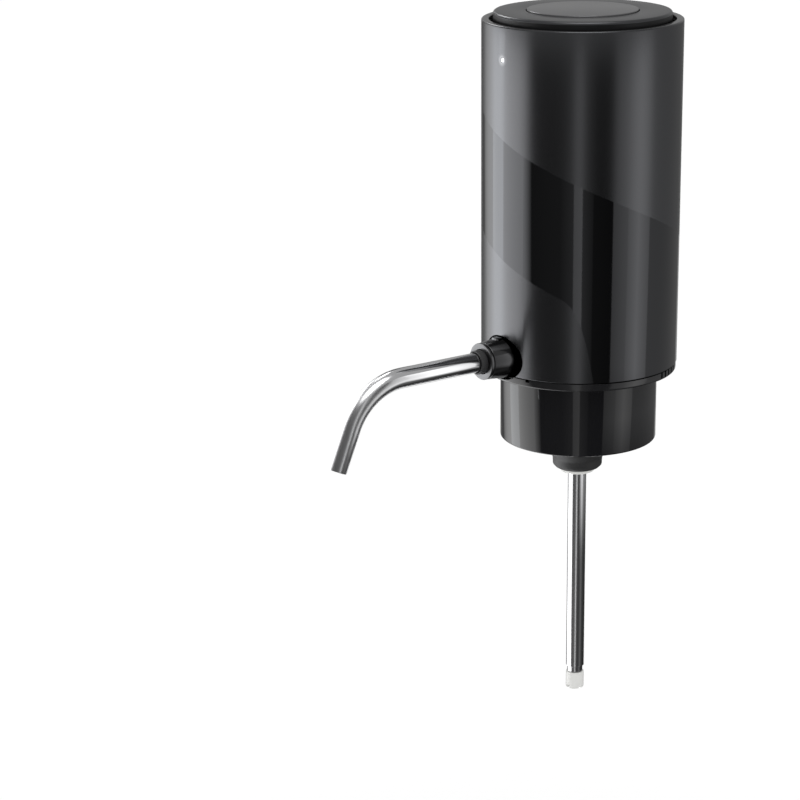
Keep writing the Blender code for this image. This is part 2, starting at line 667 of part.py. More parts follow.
def make_base_cover():
    ring_radius = BODY_RADIUS - BASE_RING_INSET
    plug_high = BASE_LOW + BASE_RING_HEIGHT + BASE_PLUG_HEIGHT
    outline = [
        (CORE_HOLE, FLOOR_HIGH),
        (BASE_PLUG_INNER, FLOOR_HIGH),
        (BASE_PLUG_INNER, plug_high),
        (FRAME_RADIUS, plug_high),
        (FRAME_RADIUS, RING_HIGH),
        (ring_radius, RING_HIGH),
        (ring_radius, BASE_LOW + BASE_CHAMFER),
        (ring_radius - BASE_CHAMFER, BASE_LOW),
        (CORE_HOLE, BASE_LOW),
    ]
    cover = lathe("base_cover", outline, GLOSS_BLACK, steps=ROUND)
    boss_high = BASE_LOW + BASE_BOSS_HEIGHT
    for number, angle in enumerate(BASE_SCREW_ANGLES):
        name = f"base_boss_{number}"
        root = around(BASE_SCREW_CIRCLE, angle, BASE_LOW + BASE_FLOOR / 2)
        join(cover, rod(name, BASE_BOSS_RADIUS, root, around(BASE_SCREW_CIRCLE, angle, boss_high)))
        below = around(BASE_SCREW_CIRCLE, angle, BASE_LOW - OVERRUN)
        sink = around(BASE_SCREW_CIRCLE, angle, BASE_LOW + BASE_SINK_DEPTH)
        above = around(BASE_SCREW_CIRCLE, angle, boss_high + OVERRUN)
        cut(cover, rod(name + "_sink", SCREW_HEAD + FIT, below, sink))
        cut(cover, rod(name + "_hole", SHANK_HOLE, below, above))
    for number, angle in enumerate(COLLAR_SCREW_ANGLES):
        low = around(COLLAR_SCREW_CIRCLE, angle, BASE_LOW - OVERRUN)
        high = around(COLLAR_SCREW_CIRCLE, angle, FLOOR_HIGH + OVERRUN)
        cut(cover, rod(f"base_collar_hole_{number}", SHANK_HOLE, low, high))
    for side in (-1, 1):
        post_low = (side * CHARGE_POST_OFFSET, CHARGE_POST_REACH, BASE_LOW + BASE_FLOOR / 2)
        post_high = (side * CHARGE_POST_OFFSET, CHARGE_POST_REACH, CHARGE_BOARD_LOW - FIT)
        join(cover, rod(f"charge_post_{side + 1}", CHARGE_POST_RADIUS, post_low, post_high))
    cut(cover, front_opening("base_spout_mouth", BASE_PLUG_INNER))
    trough_start = (0, -BODY_RADIUS - OVERRUN, SPOUT_Z)
    trough_end = (0, -SOCKET_BACK_REACH + FIT, SPOUT_Z)
    cut(cover, rod("base_trough", SOCKET_CLEAR, trough_start, trough_end, sides=MEDIUM))
    half = SOCKET_FLANGE_HALF_WIDTH + FIT
    notch = block(
        "base_flange_notch",
        (-half, -FRAME_RADIUS, FLOOR_HIGH),
        (half, -SOCKET_BACK_REACH, plug_high + OVERRUN),
    )
    cut(cover, notch)
    for side in (-1, 1):
        for step in range(VENT_COUNT):
            angle = side * (VENT_MIDDLE + VENT_PITCH * (step - (VENT_COUNT - 1) / 2))
            slot = block(
                f"vent_{side + 1}_{step}",
                (-VENT_WIDTH / 2, -BODY_RADIUS - OVERRUN, BASE_LOW + BASE_CHAMFER),
                (VENT_WIDTH / 2, -BASE_PLUG_INNER + VENT_WIDTH, RING_HIGH + OVERRUN),
                turn=(0, 0, angle),
            )
            cut(cover, slot)


def make_collar():
    outline = [(CORE_HOLE, WEB_HIGH), (COLLAR_RADIUS, WEB_HIGH)]
    outline += arc(COLLAR_RADIUS - COLLAR_ROUND, COLLAR_LOW + COLLAR_ROUND, COLLAR_ROUND, 0, -90)
    outline += [
        (COLLAR_RADIUS - COLLAR_WALL, COLLAR_LOW),
        (COLLAR_RADIUS - COLLAR_WALL, WEB_LOW),
        (CORE_HOLE, WEB_LOW),
    ]
    collar = lathe("collar", outline, GLOSS_BLACK, steps=ROUND)
    for number, angle in enumerate(COLLAR_SCREW_ANGLES):
        low = around(COLLAR_SCREW_CIRCLE, angle, WEB_LOW - OVERRUN)
        high = around(COLLAR_SCREW_CIRCLE, angle, WEB_HIGH + OVERRUN)
        cut(collar, rod(f"collar_hole_{number}", SHANK_HOLE, low, high))
        bearing = around(COLLAR_SCREW_CIRCLE, angle, WEB_LOW - FIT)
        screw(f"collar_screw_{number + 1}", bearing, COLLAR_SCREW_LENGTH)


def make_stopper():
    outline = [(CORE_HOLE, FLANGE_THICKNESS), (FLANGE_RADIUS, FLANGE_THICKNESS), (FLANGE_RADIUS, 0)]
    fin_pitch = (STOPPER_LENGTH - FIN_FIRST) / FIN_COUNT

    def stem_radius(depth):
        return STOPPER_ROOT_RADIUS + (STOPPER_TIP_RADIUS - STOPPER_ROOT_RADIUS) * depth / STOPPER_LENGTH

    outline.append((stem_radius(0), 0))
    for fin in range(FIN_COUNT):
        depth = FIN_FIRST + fin * fin_pitch
        tip = stem_radius(depth) + FIN_HEIGHT
        outline += [
            (stem_radius(depth), -depth),
            (tip, -depth - FIN_LAND / 2),
            (tip, -depth - FIN_LAND),
            (stem_radius(depth + FIN_LAND + FIN_LEAD), -depth - FIN_LAND - FIN_LEAD),
        ]
    outline += [
        (STOPPER_TIP_RADIUS, -STOPPER_LENGTH + STOPPER_TIP_CHAMFER),
        (STOPPER_TIP_RADIUS - STOPPER_TIP_CHAMFER, -STOPPER_LENGTH),
        (CORE_HOLE, -STOPPER_LENGTH),
    ]
    lathe("bottle_stopper", outline, SILICONE, steps=MEDIUM)


def make_stopper_core():
    groove_middle = MANIFOLD_LOW + CORE_ENGAGEMENT / 2
    groove_low = groove_middle - CORE_GROOVE_WIDTH / 2
    groove_high = groove_middle + CORE_GROOVE_WIDTH / 2
    groove_radius = CORE_RADIUS - CORE_GROOVE_DEPTH
    outline = [
        (0, CORE_HIGH),
        (CORE_RADIUS, CORE_HIGH),
        (CORE_RADIUS, groove_high),
        (groove_radius, groove_high),
        (groove_radius, groove_low),
        (CORE_RADIUS, groove_low),
        (CORE_RADIUS, CORE_LOW + STOPPER_TIP_CHAMFER),
        (CORE_RADIUS - STOPPER_TIP_CHAMFER, CORE_LOW),
        (0, CORE_LOW),
    ]
    core = lathe("stopper_core", outline, WHITE_PLASTIC, steps=MEDIUM)
    top, bottom = CORE_HIGH + OVERRUN, CORE_LOW - OVERRUN
    cut(core, rod("core_wine_bore", WINE_BORE, (0, 0, bottom), (0, 0, top)))
    seat = (0, 0, -STRAW_TOP + FIT)
    cut(core, rod("core_straw_socket", STRAW_RADIUS + SLIDE_FIT, (0, 0, bottom), seat, sides=MEDIUM))
    cut(core, rod("core_air_bore", AIR_BORE, (-AIR_BORE_OFFSET, 0, bottom), (-AIR_BORE_OFFSET, 0, top)))
    seal_ring("core_o_ring", groove_radius, CORE_HOLE, groove_middle)


def straw_sizes(stage):
    """Outer radius, inner radius, top and bottom of one stage, counted from the outermost."""
    outer = STRAW_RADIUS - stage * (STRAW_WALL + SLIDE_FIT)
    top = -STRAW_TOP - stage * STRAW_STEP
    return outer, outer - STRAW_WALL, top, top - STRAW_LENGTH


def make_straw():
    stages = (("straw_upper_tube", None), ("straw_middle_tube", middle_slide), ("straw_lower_tube", lower_slide))
    for stage, (name, slide) in enumerate(stages):
        outer, inner, top, bottom = straw_sizes(stage)
        lathe(name, ring_outline(inner, outer, bottom, top), POLISHED_STEEL, parent=slide, steps=MEDIUM)
    outer, inner, top, bottom = straw_sizes(2)
    middle_bottom = straw_sizes(1)[3]
    high = middle_bottom - FIT
    low = high - STRAW_TIP_LENGTH
    hole = outer + SLIDE_FIT
    radius = hole + STRAW_TIP_WALL
    outline = [
        (hole, high),
        (radius, high),
        (radius, low + STRAW_TIP_WALL),
        (radius - STRAW_TIP_WALL, low),
        (inner, low),
        (inner, bottom - FIT),
        (hole, bottom - FIT),
    ]
    tip = lathe("straw_tip", outline, WHITE_PLASTIC, parent=lower_slide, steps=SMALL)
    half = STRAW_TIP_NOTCH / 2
    for number in range(2):
        reach = radius + OVERRUN
        notch = block(
            f"straw_tip_notch_{number}",
            (-reach, -half, low - OVERRUN),
            (reach, half, low + STRAW_TIP_NOTCH),
            parent=lower_slide,
            turn=(0, 0, number * math.pi / 2),
        )
        cut(tip, notch)


def make_manifold():
    outline = round_outline(MANIFOLD_RADIUS, MANIFOLD_LOW, MANIFOLD_HIGH)
    manifold = lathe("manifold", outline, WHITE_PLASTIC, steps=INNER)
    boss_high = MANIFOLD_LOW + MANIFOLD_BOSS_HEIGHT
    for number, angle in enumerate(COLLAR_SCREW_ANGLES):
        low = around(COLLAR_SCREW_CIRCLE, angle, MANIFOLD_LOW)
        high = around(COLLAR_SCREW_CIRCLE, angle, boss_high)
        half = MANIFOLD_ARM_WIDTH / 2
        arm = block(
            f"manifold_arm_{number}",
            (-half, -COLLAR_SCREW_CIRCLE, MANIFOLD_LOW),
            (half, 0, MANIFOLD_LOW + MANIFOLD_ARM_HEIGHT),
            turn=(0, 0, angle),
        )
        join(manifold, arm)
        join(manifold, rod(f"manifold_boss_{number}", MANIFOLD_BOSS_RADIUS, low, high, sides=SMALL))
        below = Vector((0, 0, OVERRUN))
        cut(manifold, rod(f"manifold_screw_hole_{number}", SHANK_HOLE, low - below, high - below))
    front = (0, -MANIFOLD_RADIUS - WINE_NIPPLE, SPOUT_Z)
    left = (-MANIFOLD_RADIUS - AIR_NIPPLE, 0, SPOUT_Z)
    join(manifold, rod("manifold_wine_nipple", NIPPLE_RADIUS, (0, -MANIFOLD_RADIUS / 2, SPOUT_Z), front))
    join(manifold, rod("manifold_air_nipple", NIPPLE_RADIUS, (-MANIFOLD_RADIUS / 2, 0, SPOUT_Z), left))
    socket_low = (0, 0, MANIFOLD_LOW - OVERRUN)
    socket_high = MANIFOLD_LOW + CORE_ENGAGEMENT
    cut(manifold, rod("manifold_core_socket", CORE_HOLE, socket_low, (0, 0, socket_high), sides=MEDIUM))
    start = (0, 0, socket_high - OVERRUN)
    cut(manifold, rod("manifold_wine_rise", WINE_BORE, start, (0, 0, SPOUT_Z + NIPPLE_BORE)))
    out = Vector((0, -OVERRUN, 0))
    cut(manifold, rod("manifold_wine_out", NIPPLE_BORE, (0, 0, SPOUT_Z), Vector(front) + out))
    air_start = (-AIR_BORE_OFFSET, 0, socket_high - OVERRUN)
    air_rise = (-AIR_BORE_OFFSET, 0, SPOUT_Z)
    cut(manifold, rod("manifold_air_rise", AIR_BORE, air_start, air_rise))
    out = Vector((-OVERRUN, 0, 0))
    cut(manifold, rod("manifold_air_out", NIPPLE_BORE, air_rise, Vector(left) + out))


def make_wine_hose():
    start = MANIFOLD_RADIUS + FIT
    end = SOCKET_BACK_REACH - FIT
    outline = ring_outline(HOSE_INNER, HOSE_RADIUS, start, end)
    lathe("wine_hose", outline, CLEAR_SILICONE, place=(0, 0, SPOUT_Z), turn=(math.pi / 2, 0, 0), steps=SMALL)


def make_air_hose():
    centre = Vector((NOZZLE_X + AIR_HOSE_BEND, 0, SPOUT_Z + AIR_HOSE_BEND))
    points = [Vector((NOZZLE_X, 0, FRAME_LOW - FIT))]
    for step in range(AIR_HOSE_STEPS + 1):
        angle = math.pi + math.pi / 2 * step / AIR_HOSE_STEPS
        points.append(centre + AIR_HOSE_BEND * Vector((math.cos(angle), 0, math.sin(angle))))
    points.append(Vector((-MANIFOLD_RADIUS - FIT, 0, SPOUT_Z)))
    hose = path_tube("air_hose", points, HOSE_RADIUS, CLEAR_SILICONE)
    points[0] = points[0] + Vector((0, 0, OVERRUN))
    points[-1] = points[-1] + Vector((OVERRUN, 0, 0))
    cut(hose, path_tube("air_hose_bore", points, HOSE_INNER))


def make_spout_socket():
    outline = [
        (0, SOCKET_BACK_REACH + SOCKET_BACK),
        (SOCKET_RADIUS - SOCKET_WALL, SOCKET_BACK_REACH + SOCKET_BACK),
        (SOCKET_RADIUS - SOCKET_WALL, SOCKET_REACH),
        (SOCKET_RADIUS, SOCKET_REACH),
        (SOCKET_RADIUS, SOCKET_BACK_REACH),
        (NIPPLE_RADIUS, SOCKET_BACK_REACH),
        (NIPPLE_RADIUS, SOCKET_BACK_REACH - WINE_NIPPLE),
        (0, SOCKET_BACK_REACH - WINE_NIPPLE),
    ]
    turn = (math.pi / 2, 0, 0)
    socket = lathe("spout_socket", outline, BLACK_PLASTIC, place=(0, 0, SPOUT_Z), turn=turn)
    low = FLOOR_HIGH + FIT
    flange_back = -SOCKET_FLANGE_REACH + SOCKET_FLANGE_THICKNESS
    flange = block(
        "socket_flange",
        (-SOCKET_FLANGE_HALF_WIDTH, -SOCKET_FLANGE_REACH, low),
        (SOCKET_FLANGE_HALF_WIDTH, flange_back, low + SOCKET_FLANGE_HEIGHT),
    )
    bore = rod(
        "socket_flange_bore",
        SOCKET_RADIUS - SOCKET_WALL / 2,
        (0, -SOCKET_FLANGE_REACH - OVERRUN, SPOUT_Z),
        (0, flange_back + OVERRUN, SPOUT_Z),
        sides=MEDIUM,
    )
    cut(flange, bore)
    join(socket, flange)
    start = (0, -SOCKET_BACK_REACH + WINE_NIPPLE + OVERRUN, SPOUT_Z)
    end = (0, -SOCKET_BACK_REACH - SOCKET_BACK - OVERRUN, SPOUT_Z)
    cut(socket, rod("socket_wine_bore", NIPPLE_BORE, start, end))


def make_spout_connector():
    ring_back = CONE_REACH - FACE_RING
    cone_front = ring_back - FIT
    groove_back = PLUG_BACK + PLUG_GROOVE_BACK
    groove_front = groove_back + PLUG_GROOVE_WIDTH
    groove_radius = PLUG_RADIUS - PLUG_GROOVE_DEPTH
    tube_hole = TUBE_RADIUS + SLEEVE_FIT
    sleeve_hole = TUBE_RADIUS + SLEEVE_FIT + SLEEVE_WALL + SLEEVE_FIT
    sleeve_seat = cone_front - SLEEVE_SEAT
    outline = [
        (TUBE_RADIUS - TUBE_WALL, TUBE_END - FIT),
        (tube_hole, TUBE_END - FIT),
        (tube_hole, sleeve_seat),
        (sleeve_hole, sleeve_seat),
        (sleeve_hole, cone_front),
        (CONE_FACE_RADIUS, cone_front),
        (CONE_BASE_RADIUS, CONE_BACK),
        (PLUG_RADIUS, CONE_BACK),
        (PLUG_RADIUS, groove_front),
        (groove_radius, groove_front),
        (groove_radius, groove_back),
        (PLUG_RADIUS, groove_back),
        (PLUG_RADIUS, PLUG_BACK),
        (TUBE_RADIUS - TUBE_WALL, PLUG_BACK),
    ]
    connector = lathe("spout_connector", outline, GLOSS_BLACK, parent=spout_swivel, steps=MEDIUM)
    slope = (CONE_BASE_RADIUS - CONE_FACE_RADIUS) / (cone_front - CONE_BACK)
    lug_front = CONE_BACK + 2 * CONE_LUG_LENGTH
    lug_radius = CONE_BASE_RADIUS - slope * (lug_front - CONE_BACK)
    lug = block(
        "connector_lug",
        (-CONE_LUG_WIDTH / 2, lug_radius - CONE_LUG_HEIGHT, lug_front - CONE_LUG_LENGTH),
        (CONE_LUG_WIDTH / 2, lug_radius + CONE_LUG_HEIGHT, lug_front),
        parent=spout_swivel,
    )
    bevel(lug, CONE_LUG_HEIGHT / 2)
    join(connector, lug)
    ring = ring_outline(sleeve_hole, CONE_FACE_RADIUS, ring_back, CONE_REACH)
    lathe("spout_face_ring", ring, POLISHED_STEEL, parent=spout_swivel, steps=MEDIUM)
    sleeve = ring_outline(tube_hole, tube_hole + SLEEVE_WALL, sleeve_seat + FIT, CONE_REACH + SLEEVE_PROUD)
    lathe("spout_seal_sleeve", sleeve, SILICONE, parent=spout_swivel, steps=MEDIUM)
    socket_bore = SOCKET_RADIUS - SOCKET_WALL
    seal_ring("connector_o_ring", groove_radius, socket_bore, (groove_back + groove_front) / 2, spout_swivel)


def spout_path(back, tail):
    """The spout's middle line, in the swivel's own axes: Z is forwards and Y is up."""
    centre = Vector((0, -TUBE_BEND_RADIUS, TUBE_BEND_START))
    points = [Vector((0, 0, TUBE_END - back))]
    for step in range(TUBE_BEND_STEPS + 1):
        angle = TUBE_BEND_ANGLE * step / TUBE_BEND_STEPS
        points.append(centre + TUBE_BEND_RADIUS * Vector((0, math.cos(angle), math.sin(angle))))
    along = Vector((0, -math.sin(TUBE_BEND_ANGLE), math.cos(TUBE_BEND_ANGLE)))
    points.append(points[-1] + along * (TUBE_TAIL + tail))
    return points


def make_spout_tube():
    tube = path_tube("spout_tube", spout_path(0, 0), TUBE_RADIUS, POLISHED_STEEL, spout_swivel, 5)
    bore = path_tube("spout_bore", spout_path(OVERRUN, OVERRUN), TUBE_RADIUS - TUBE_WALL, None, spout_swivel, 4)
    cut(tube, bore)


def make_button():
    recess_radius = DISC_RADIUS + FIT
    recess_low = PLATE_HIGH - DISC_INSET
    outline = [(0, recess_low), (recess_radius, recess_low), (recess_radius, PLATE_HIGH)]
    outline += arc(PLATE_RADIUS - PLATE_EDGE, PLATE_HIGH - PLATE_EDGE, PLATE_EDGE, 90, 0)
    outline += [
        (PLATE_RADIUS, SKIRT_LOW),
        (SKIRT_INNER, SKIRT_LOW),
        (SKIRT_INNER, PLATE_LOW),
        (PRESS_PIN_RADIUS, PLATE_LOW),
        (PRESS_PIN_RADIUS, STEM_HIGH + FIT),
        (0, STEM_HIGH + FIT),
    ]
    outline = [(radius, height - PLATE_LOW) for radius, height in outline]
    plate = lathe("button_plate", outline, SATIN_GREY, parent=press, steps=ROUND)
    leg_low = DECK_LOW - FIT - HOOK_LIP_HEIGHT - PLATE_LOW
    half = HOOK_WIDTH / 2
    for number, angle in enumerate(HOOK_ANGLES):
        leg = block(
            f"hook_leg_{number}",
            (-half, -HOOK_CIRCLE - HOOK_THICKNESS, leg_low),
            (half, -HOOK_CIRCLE, PLATE_THICKNESS / 3),
            parent=press,
            turn=(0, 0, angle),
        )
        lip = block(
            f"hook_lip_{number}",
            (-half + FIT, -HOOK_CIRCLE - HOOK_THICKNESS - HOOK_LIP, leg_low + SLIDE_FIT),
            (half - FIT, -HOOK_CIRCLE - HOOK_THICKNESS / 2, leg_low + HOOK_LIP_HEIGHT),
            parent=press,
            turn=(0, 0, angle),
        )
        join(plate, leg)
        join(plate, lip)
    disc_low = recess_low + FIT - PLATE_LOW
    disc_high = PLATE_HIGH + DISC_PROUD - PLATE_LOW
    outline = [
        (0, disc_high),
        (DISC_RADIUS - DISC_EDGE, disc_high),
        (DISC_RADIUS, disc_high - DISC_EDGE),
        (DISC_RADIUS, disc_low),
        (0, disc_low),
    ]
    lathe("button_disc", outline, SATIN_GREY, parent=press, steps=ROUND)


def make_switch():
    half = SWITCH_SIZE / 2
    body = block("tact_switch", (-half, -half, SWITCH_LOW), (half, half, SWITCH_HIGH), BLACK_PLASTIC)
    sink = SWITCH_HIGH - SWITCH_STEM_SINK
    cut(body, rod("switch_well", SWITCH_STEM_RADIUS + FIT, (0, 0, sink), (0, 0, SWITCH_HIGH + OVERRUN)))
    low = sink + PRESS_TRAVEL + FIT - PLATE_LOW
    outline = round_outline(SWITCH_STEM_RADIUS, low, STEM_HIGH - PLATE_LOW)
    lathe("switch_plunger", outline, WHITE_PLASTIC, parent=press, steps=SMALL)


def make_button_spring():
    low = DECK_HIGH + FIT + SPRING_WIRE
    high = PLATE_LOW - FIT - SPRING_WIRE
    count = round(SPRING_TURNS * SPRING_POINTS)
    points = []
    for step in range(count + 1):
        angle = math.tau * step / SPRING_POINTS
        height = low + (high - low) * step / count - PLATE_LOW
        points.append((SPRING_RADIUS * math.cos(angle), SPRING_RADIUS * math.sin(angle), height))
    path_tube("button_spring", points, SPRING_WIRE, ZINC_STEEL, press, 1)


def make_top_deck():
    upstand_high = LIP_LOW - FIT
    outline = [
        (PRESS_PIN_RADIUS + FIT, DECK_HIGH + DECK_GUIDE_HEIGHT),
        (DECK_GUIDE_RADIUS, DECK_HIGH + DECK_GUIDE_HEIGHT),
        (DECK_GUIDE_RADIUS, DECK_HIGH),
        (FRAME_RADIUS - DECK_UPSTAND, DECK_HIGH),
        (FRAME_RADIUS - DECK_UPSTAND, upstand_high),
        (FRAME_RADIUS, upstand_high),
        (FRAME_RADIUS, DECK_LOW),
        (PRESS_PIN_RADIUS + FIT, DECK_LOW),
    ]
    deck = lathe("top_deck", outline, BLACK_PLASTIC, steps=ROUND)
    half = HOOK_WIDTH / 2 + FIT
    for number, angle in enumerate(HOOK_ANGLES):
        slot = block(
            f"deck_hook_slot_{number}",
            (-half, -HOOK_CIRCLE - HOOK_THICKNESS - FIT, DECK_LOW - OVERRUN),
            (half, -HOOK_CIRCLE + HOOK_LIP + FIT, DECK_HIGH + OVERRUN),
            turn=(0, 0, angle),
        )
        cut(deck, slot)
    for number, angle in enumerate(DECK_SCREW_ANGLES):
        low = around(DECK_SCREW_CIRCLE, angle, DECK_LOW - OVERRUN)
        high = around(DECK_SCREW_CIRCLE, angle, DECK_HIGH + OVERRUN)
        cut(deck, rod(f"deck_screw_hole_{number}", SHANK_HOLE, low, high))
        head = around(DECK_SCREW_CIRCLE, angle, DECK_HIGH + FIT)
        screw(f"deck_screw_{number + 1}", head, DECK_SCREW_LENGTH, upwards=False)


def make_main_board():
    board = lathe("main_board", round_outline(BOARD_RADIUS, BOARD_LOW, BOARD_HIGH), GREEN_BOARD, steps=INNER)
    for number, angle in enumerate(DECK_SCREW_ANGLES):
        low = around(DECK_SCREW_CIRCLE, angle, BOARD_LOW - OVERRUN)
        high = around(DECK_SCREW_CIRCLE, angle, BOARD_HIGH + OVERRUN)
        cut(board, rod(f"board_post_hole_{number}", FRAME_BOARD_POST_RADIUS + FIT, low, high))
    half = CHIP_SIZE / 2
    chip = block(
        "board_chip",
        (-half, CHIP_OFFSET - half, BOARD_HIGH - BOARD_THICKNESS / 2),
        (half, CHIP_OFFSET + half, BOARD_HIGH + CHIP_HEIGHT),
    )
    join(board, chip)


def make_led():
    half = LED_CHIP_WIDTH / 2
    low, high = BOARD_HIGH + FIT, BOARD_HIGH + FIT + LED_CHIP_HEIGHT
    block("indicator_led", (-half, -LED_CHIP_REACH - half, low), (half, -LED_CHIP_REACH + half, high), LED_LENS)
    centre = Vector((0, -LED_CHIP_REACH - PIPE_BEND_RADIUS, LED_Z - PIPE_BEND_RADIUS))
    points = [Vector((0, -LED_CHIP_REACH, high + FIT))]
    for step in range(PIPE_BEND_STEPS + 1):
        angle = math.pi / 2 * step / PIPE_BEND_STEPS
        points.append(centre + PIPE_BEND_RADIUS * Vector((0, math.cos(angle), math.sin(angle))))
    points.append(Vector((0, -BODY_RADIUS, LED_Z)))
    path_tube("led_light_pipe", points, LED_RADIUS, LED_LENS)


def make_charge_parts():
    block(
        "charge_board",
        (-CHARGE_BOARD_HALF_WIDTH, MANIFOLD_RADIUS + CHARGE_BOARD_BACK_GAP, CHARGE_BOARD_LOW),
        (CHARGE_BOARD_HALF_WIDTH, PORT_FRONT - CHARGE_BOARD_FRONT_GAP, CHARGE_BOARD_HIGH),
        GREEN_BOARD,
    )
    back = PORT_FRONT - PORT_LENGTH
    low, high = (-PORT_HALF_WIDTH, back, PORT_LOW), (PORT_HALF_WIDTH, PORT_FRONT, PORT_HIGH)
    port = block("usb_socket", low, high, ZINC_STEEL)
    round_upright_ends(port, PORT_HEIGHT / 2)
    wall = Vector((PORT_WALL, 0, PORT_WALL))
    cavity = block(
        "port_cavity",
        Vector((-PORT_HALF_WIDTH, back + PORT_BACK, PORT_LOW)) + wall,
        Vector((PORT_HALF_WIDTH, PORT_FRONT + OVERRUN, PORT_HIGH)) - wall,
    )
    round_upright_ends(cavity, PORT_HEIGHT / 2 - PORT_WALL)
    cut(port, cavity)
    middle = (PORT_LOW + PORT_HIGH) / 2
    half = PORT_TONGUE_THICKNESS / 2
    tongue = block(
        "port_tongue",
        (-PORT_TONGUE_HALF_WIDTH, back + PORT_BACK / 2, middle - half),
        (PORT_TONGUE_HALF_WIDTH, PORT_FRONT - PORT_TONGUE_SETBACK, middle + half),
    )
    join(port, tongue)


def make_inner_frame():
    outline = round_outline(FRAME_RADIUS, FRAME_LOW, FRAME_FLOOR)
    frame = lathe("inner_frame", outline, BLACK_PLASTIC, steps=INNER)
    half = FRAME_SPINE_WALL / 2
    spine = block(
        "frame_spine",
        (FRAME_SPINE_PLACE - half, -FRAME_SPINE_HALF_WIDTH, FRAME_LOW + FRAME_DECK / 2),
        (FRAME_SPINE_PLACE + half, FRAME_SPINE_HALF_WIDTH, FRAME_TOP_LOW + FRAME_DECK / 2),
    )
    join(frame, spine)
    outline = round_outline(FRAME_RADIUS, FRAME_TOP_LOW, FRAME_TOP_HIGH)
    join(frame, lathe("frame_top_deck", outline, steps=INNER))
    for number, share in enumerate(FRAME_RIB_SHARES):
        height = FRAME_FLOOR + share * (FRAME_TOP_LOW - FRAME_FLOOR)
        outline = round_outline(FRAME_RADIUS, height, height + FRAME_RIB)
        join(frame, lathe(f"frame_rib_{number}", outline, steps=INNER))
    low, high = FRAME_FLOOR, FRAME_TOP_LOW
    bays = (("cell", CELL_PLACE, CELL_RADIUS + FIT), ("pump", -PUMP_PLACE, PUMP_RADIUS + FIT))
    for name, place, radius in bays:
        cut(frame, rod(f"frame_{name}_bay", radius, (place, 0, low), (place, 0, high), sides=INNER))
        mouth = radius * FRAME_MOUTH_SHARE
        side = math.copysign(FRAME_RADIUS + OVERRUN, place)
        corners = sorted((place, side))
        cut(frame, block(f"frame_{name}_mouth", (corners[0], -mouth, low), (corners[1], mouth, high)))
    below, above = (NOZZLE_X, 0, FRAME_LOW - OVERRUN), (NOZZLE_X, 0, FRAME_FLOOR + OVERRUN)
    cut(frame, rod("frame_nozzle_hole", HOSE_RADIUS + FIT, below, above))
    post_low = BASE_LOW + BASE_BOSS_HEIGHT + FIT
    for number, angle in enumerate(BASE_SCREW_ANGLES):
        low = around(BASE_SCREW_CIRCLE, angle, post_low)
        high = around(BASE_SCREW_CIRCLE, angle, FRAME_LOW + FRAME_DECK / 2)
        join(frame, rod(f"frame_post_{number}", FRAME_POST_RADIUS, low, high, sides=SMALL))
        bottom = around(BASE_SCREW_CIRCLE, angle, post_low - OVERRUN)
        end = around(BASE_SCREW_CIRCLE, angle, BASE_LOW + BASE_SINK_DEPTH + BASE_SCREW_LENGTH)
        cut(frame, rod(f"frame_post_hole_{number}", SHANK_HOLE, bottom, end))
    for number, angle in enumerate(DECK_SCREW_ANGLES):
        root = around(DECK_SCREW_CIRCLE, angle, FRAME_TOP_HIGH - FRAME_DECK / 2)
        shoulder = around(DECK_SCREW_CIRCLE, angle, BOARD_LOW - FIT)
        tip = around(DECK_SCREW_CIRCLE, angle, DECK_LOW - FIT)
        join(frame, rod(f"frame_shoulder_{number}", FRAME_SHOULDER_RADIUS, root, shoulder, sides=SMALL))
        join(frame, rod(f"frame_board_post_{number}", FRAME_BOARD_POST_RADIUS, root, tip, sides=SMALL))
        above = around(DECK_SCREW_CIRCLE, angle, DECK_LOW + OVERRUN)
        depth = around(DECK_SCREW_CIRCLE, angle, DECK_HIGH - DECK_SCREW_LENGTH)
        cut(frame, rod(f"frame_board_hole_{number}", SHANK_HOLE, depth, above))


def make_base_screws():
    for number, angle in enumerate(BASE_SCREW_ANGLES):
        head = around(BASE_SCREW_CIRCLE, angle, BASE_LOW + BASE_SINK_DEPTH - FIT)
        screw(f"base_screw_{number + 1}", head, BASE_SCREW_LENGTH)


def make_battery_cell():
    outline = [
        (0, CELL_HIGH + CELL_NUB_HEIGHT),
        (CELL_NUB_RADIUS, CELL_HIGH + CELL_NUB_HEIGHT),
        (CELL_NUB_RADIUS, CELL_HIGH),
        (CELL_RADIUS - CELL_EDGE, CELL_HIGH),
        (CELL_RADIUS, CELL_HIGH - CELL_EDGE),
        (CELL_RADIUS, CELL_LOW + CELL_EDGE),
        (CELL_RADIUS - CELL_EDGE, CELL_LOW),
        (0, CELL_LOW),
    ]
    lathe("battery_cell", outline, CELL_WRAP, place=(CELL_PLACE, 0, 0), steps=INNER)


def pump_point(radius, angle, height):
    return around(radius, angle, height) + Vector((-PUMP_PLACE, 0, 0))


def drill_pump_screws(piece, low, high):
    for number, angle in enumerate(PUMP_SCREW_ANGLES):
        start = pump_point(PUMP_SCREW_CIRCLE, angle, low - OVERRUN)
        end = pump_point(PUMP_SCREW_CIRCLE, angle, high)
        cut(piece, rod(f"{piece.name}_screw_hole_{number}", SHANK_HOLE, start, end))


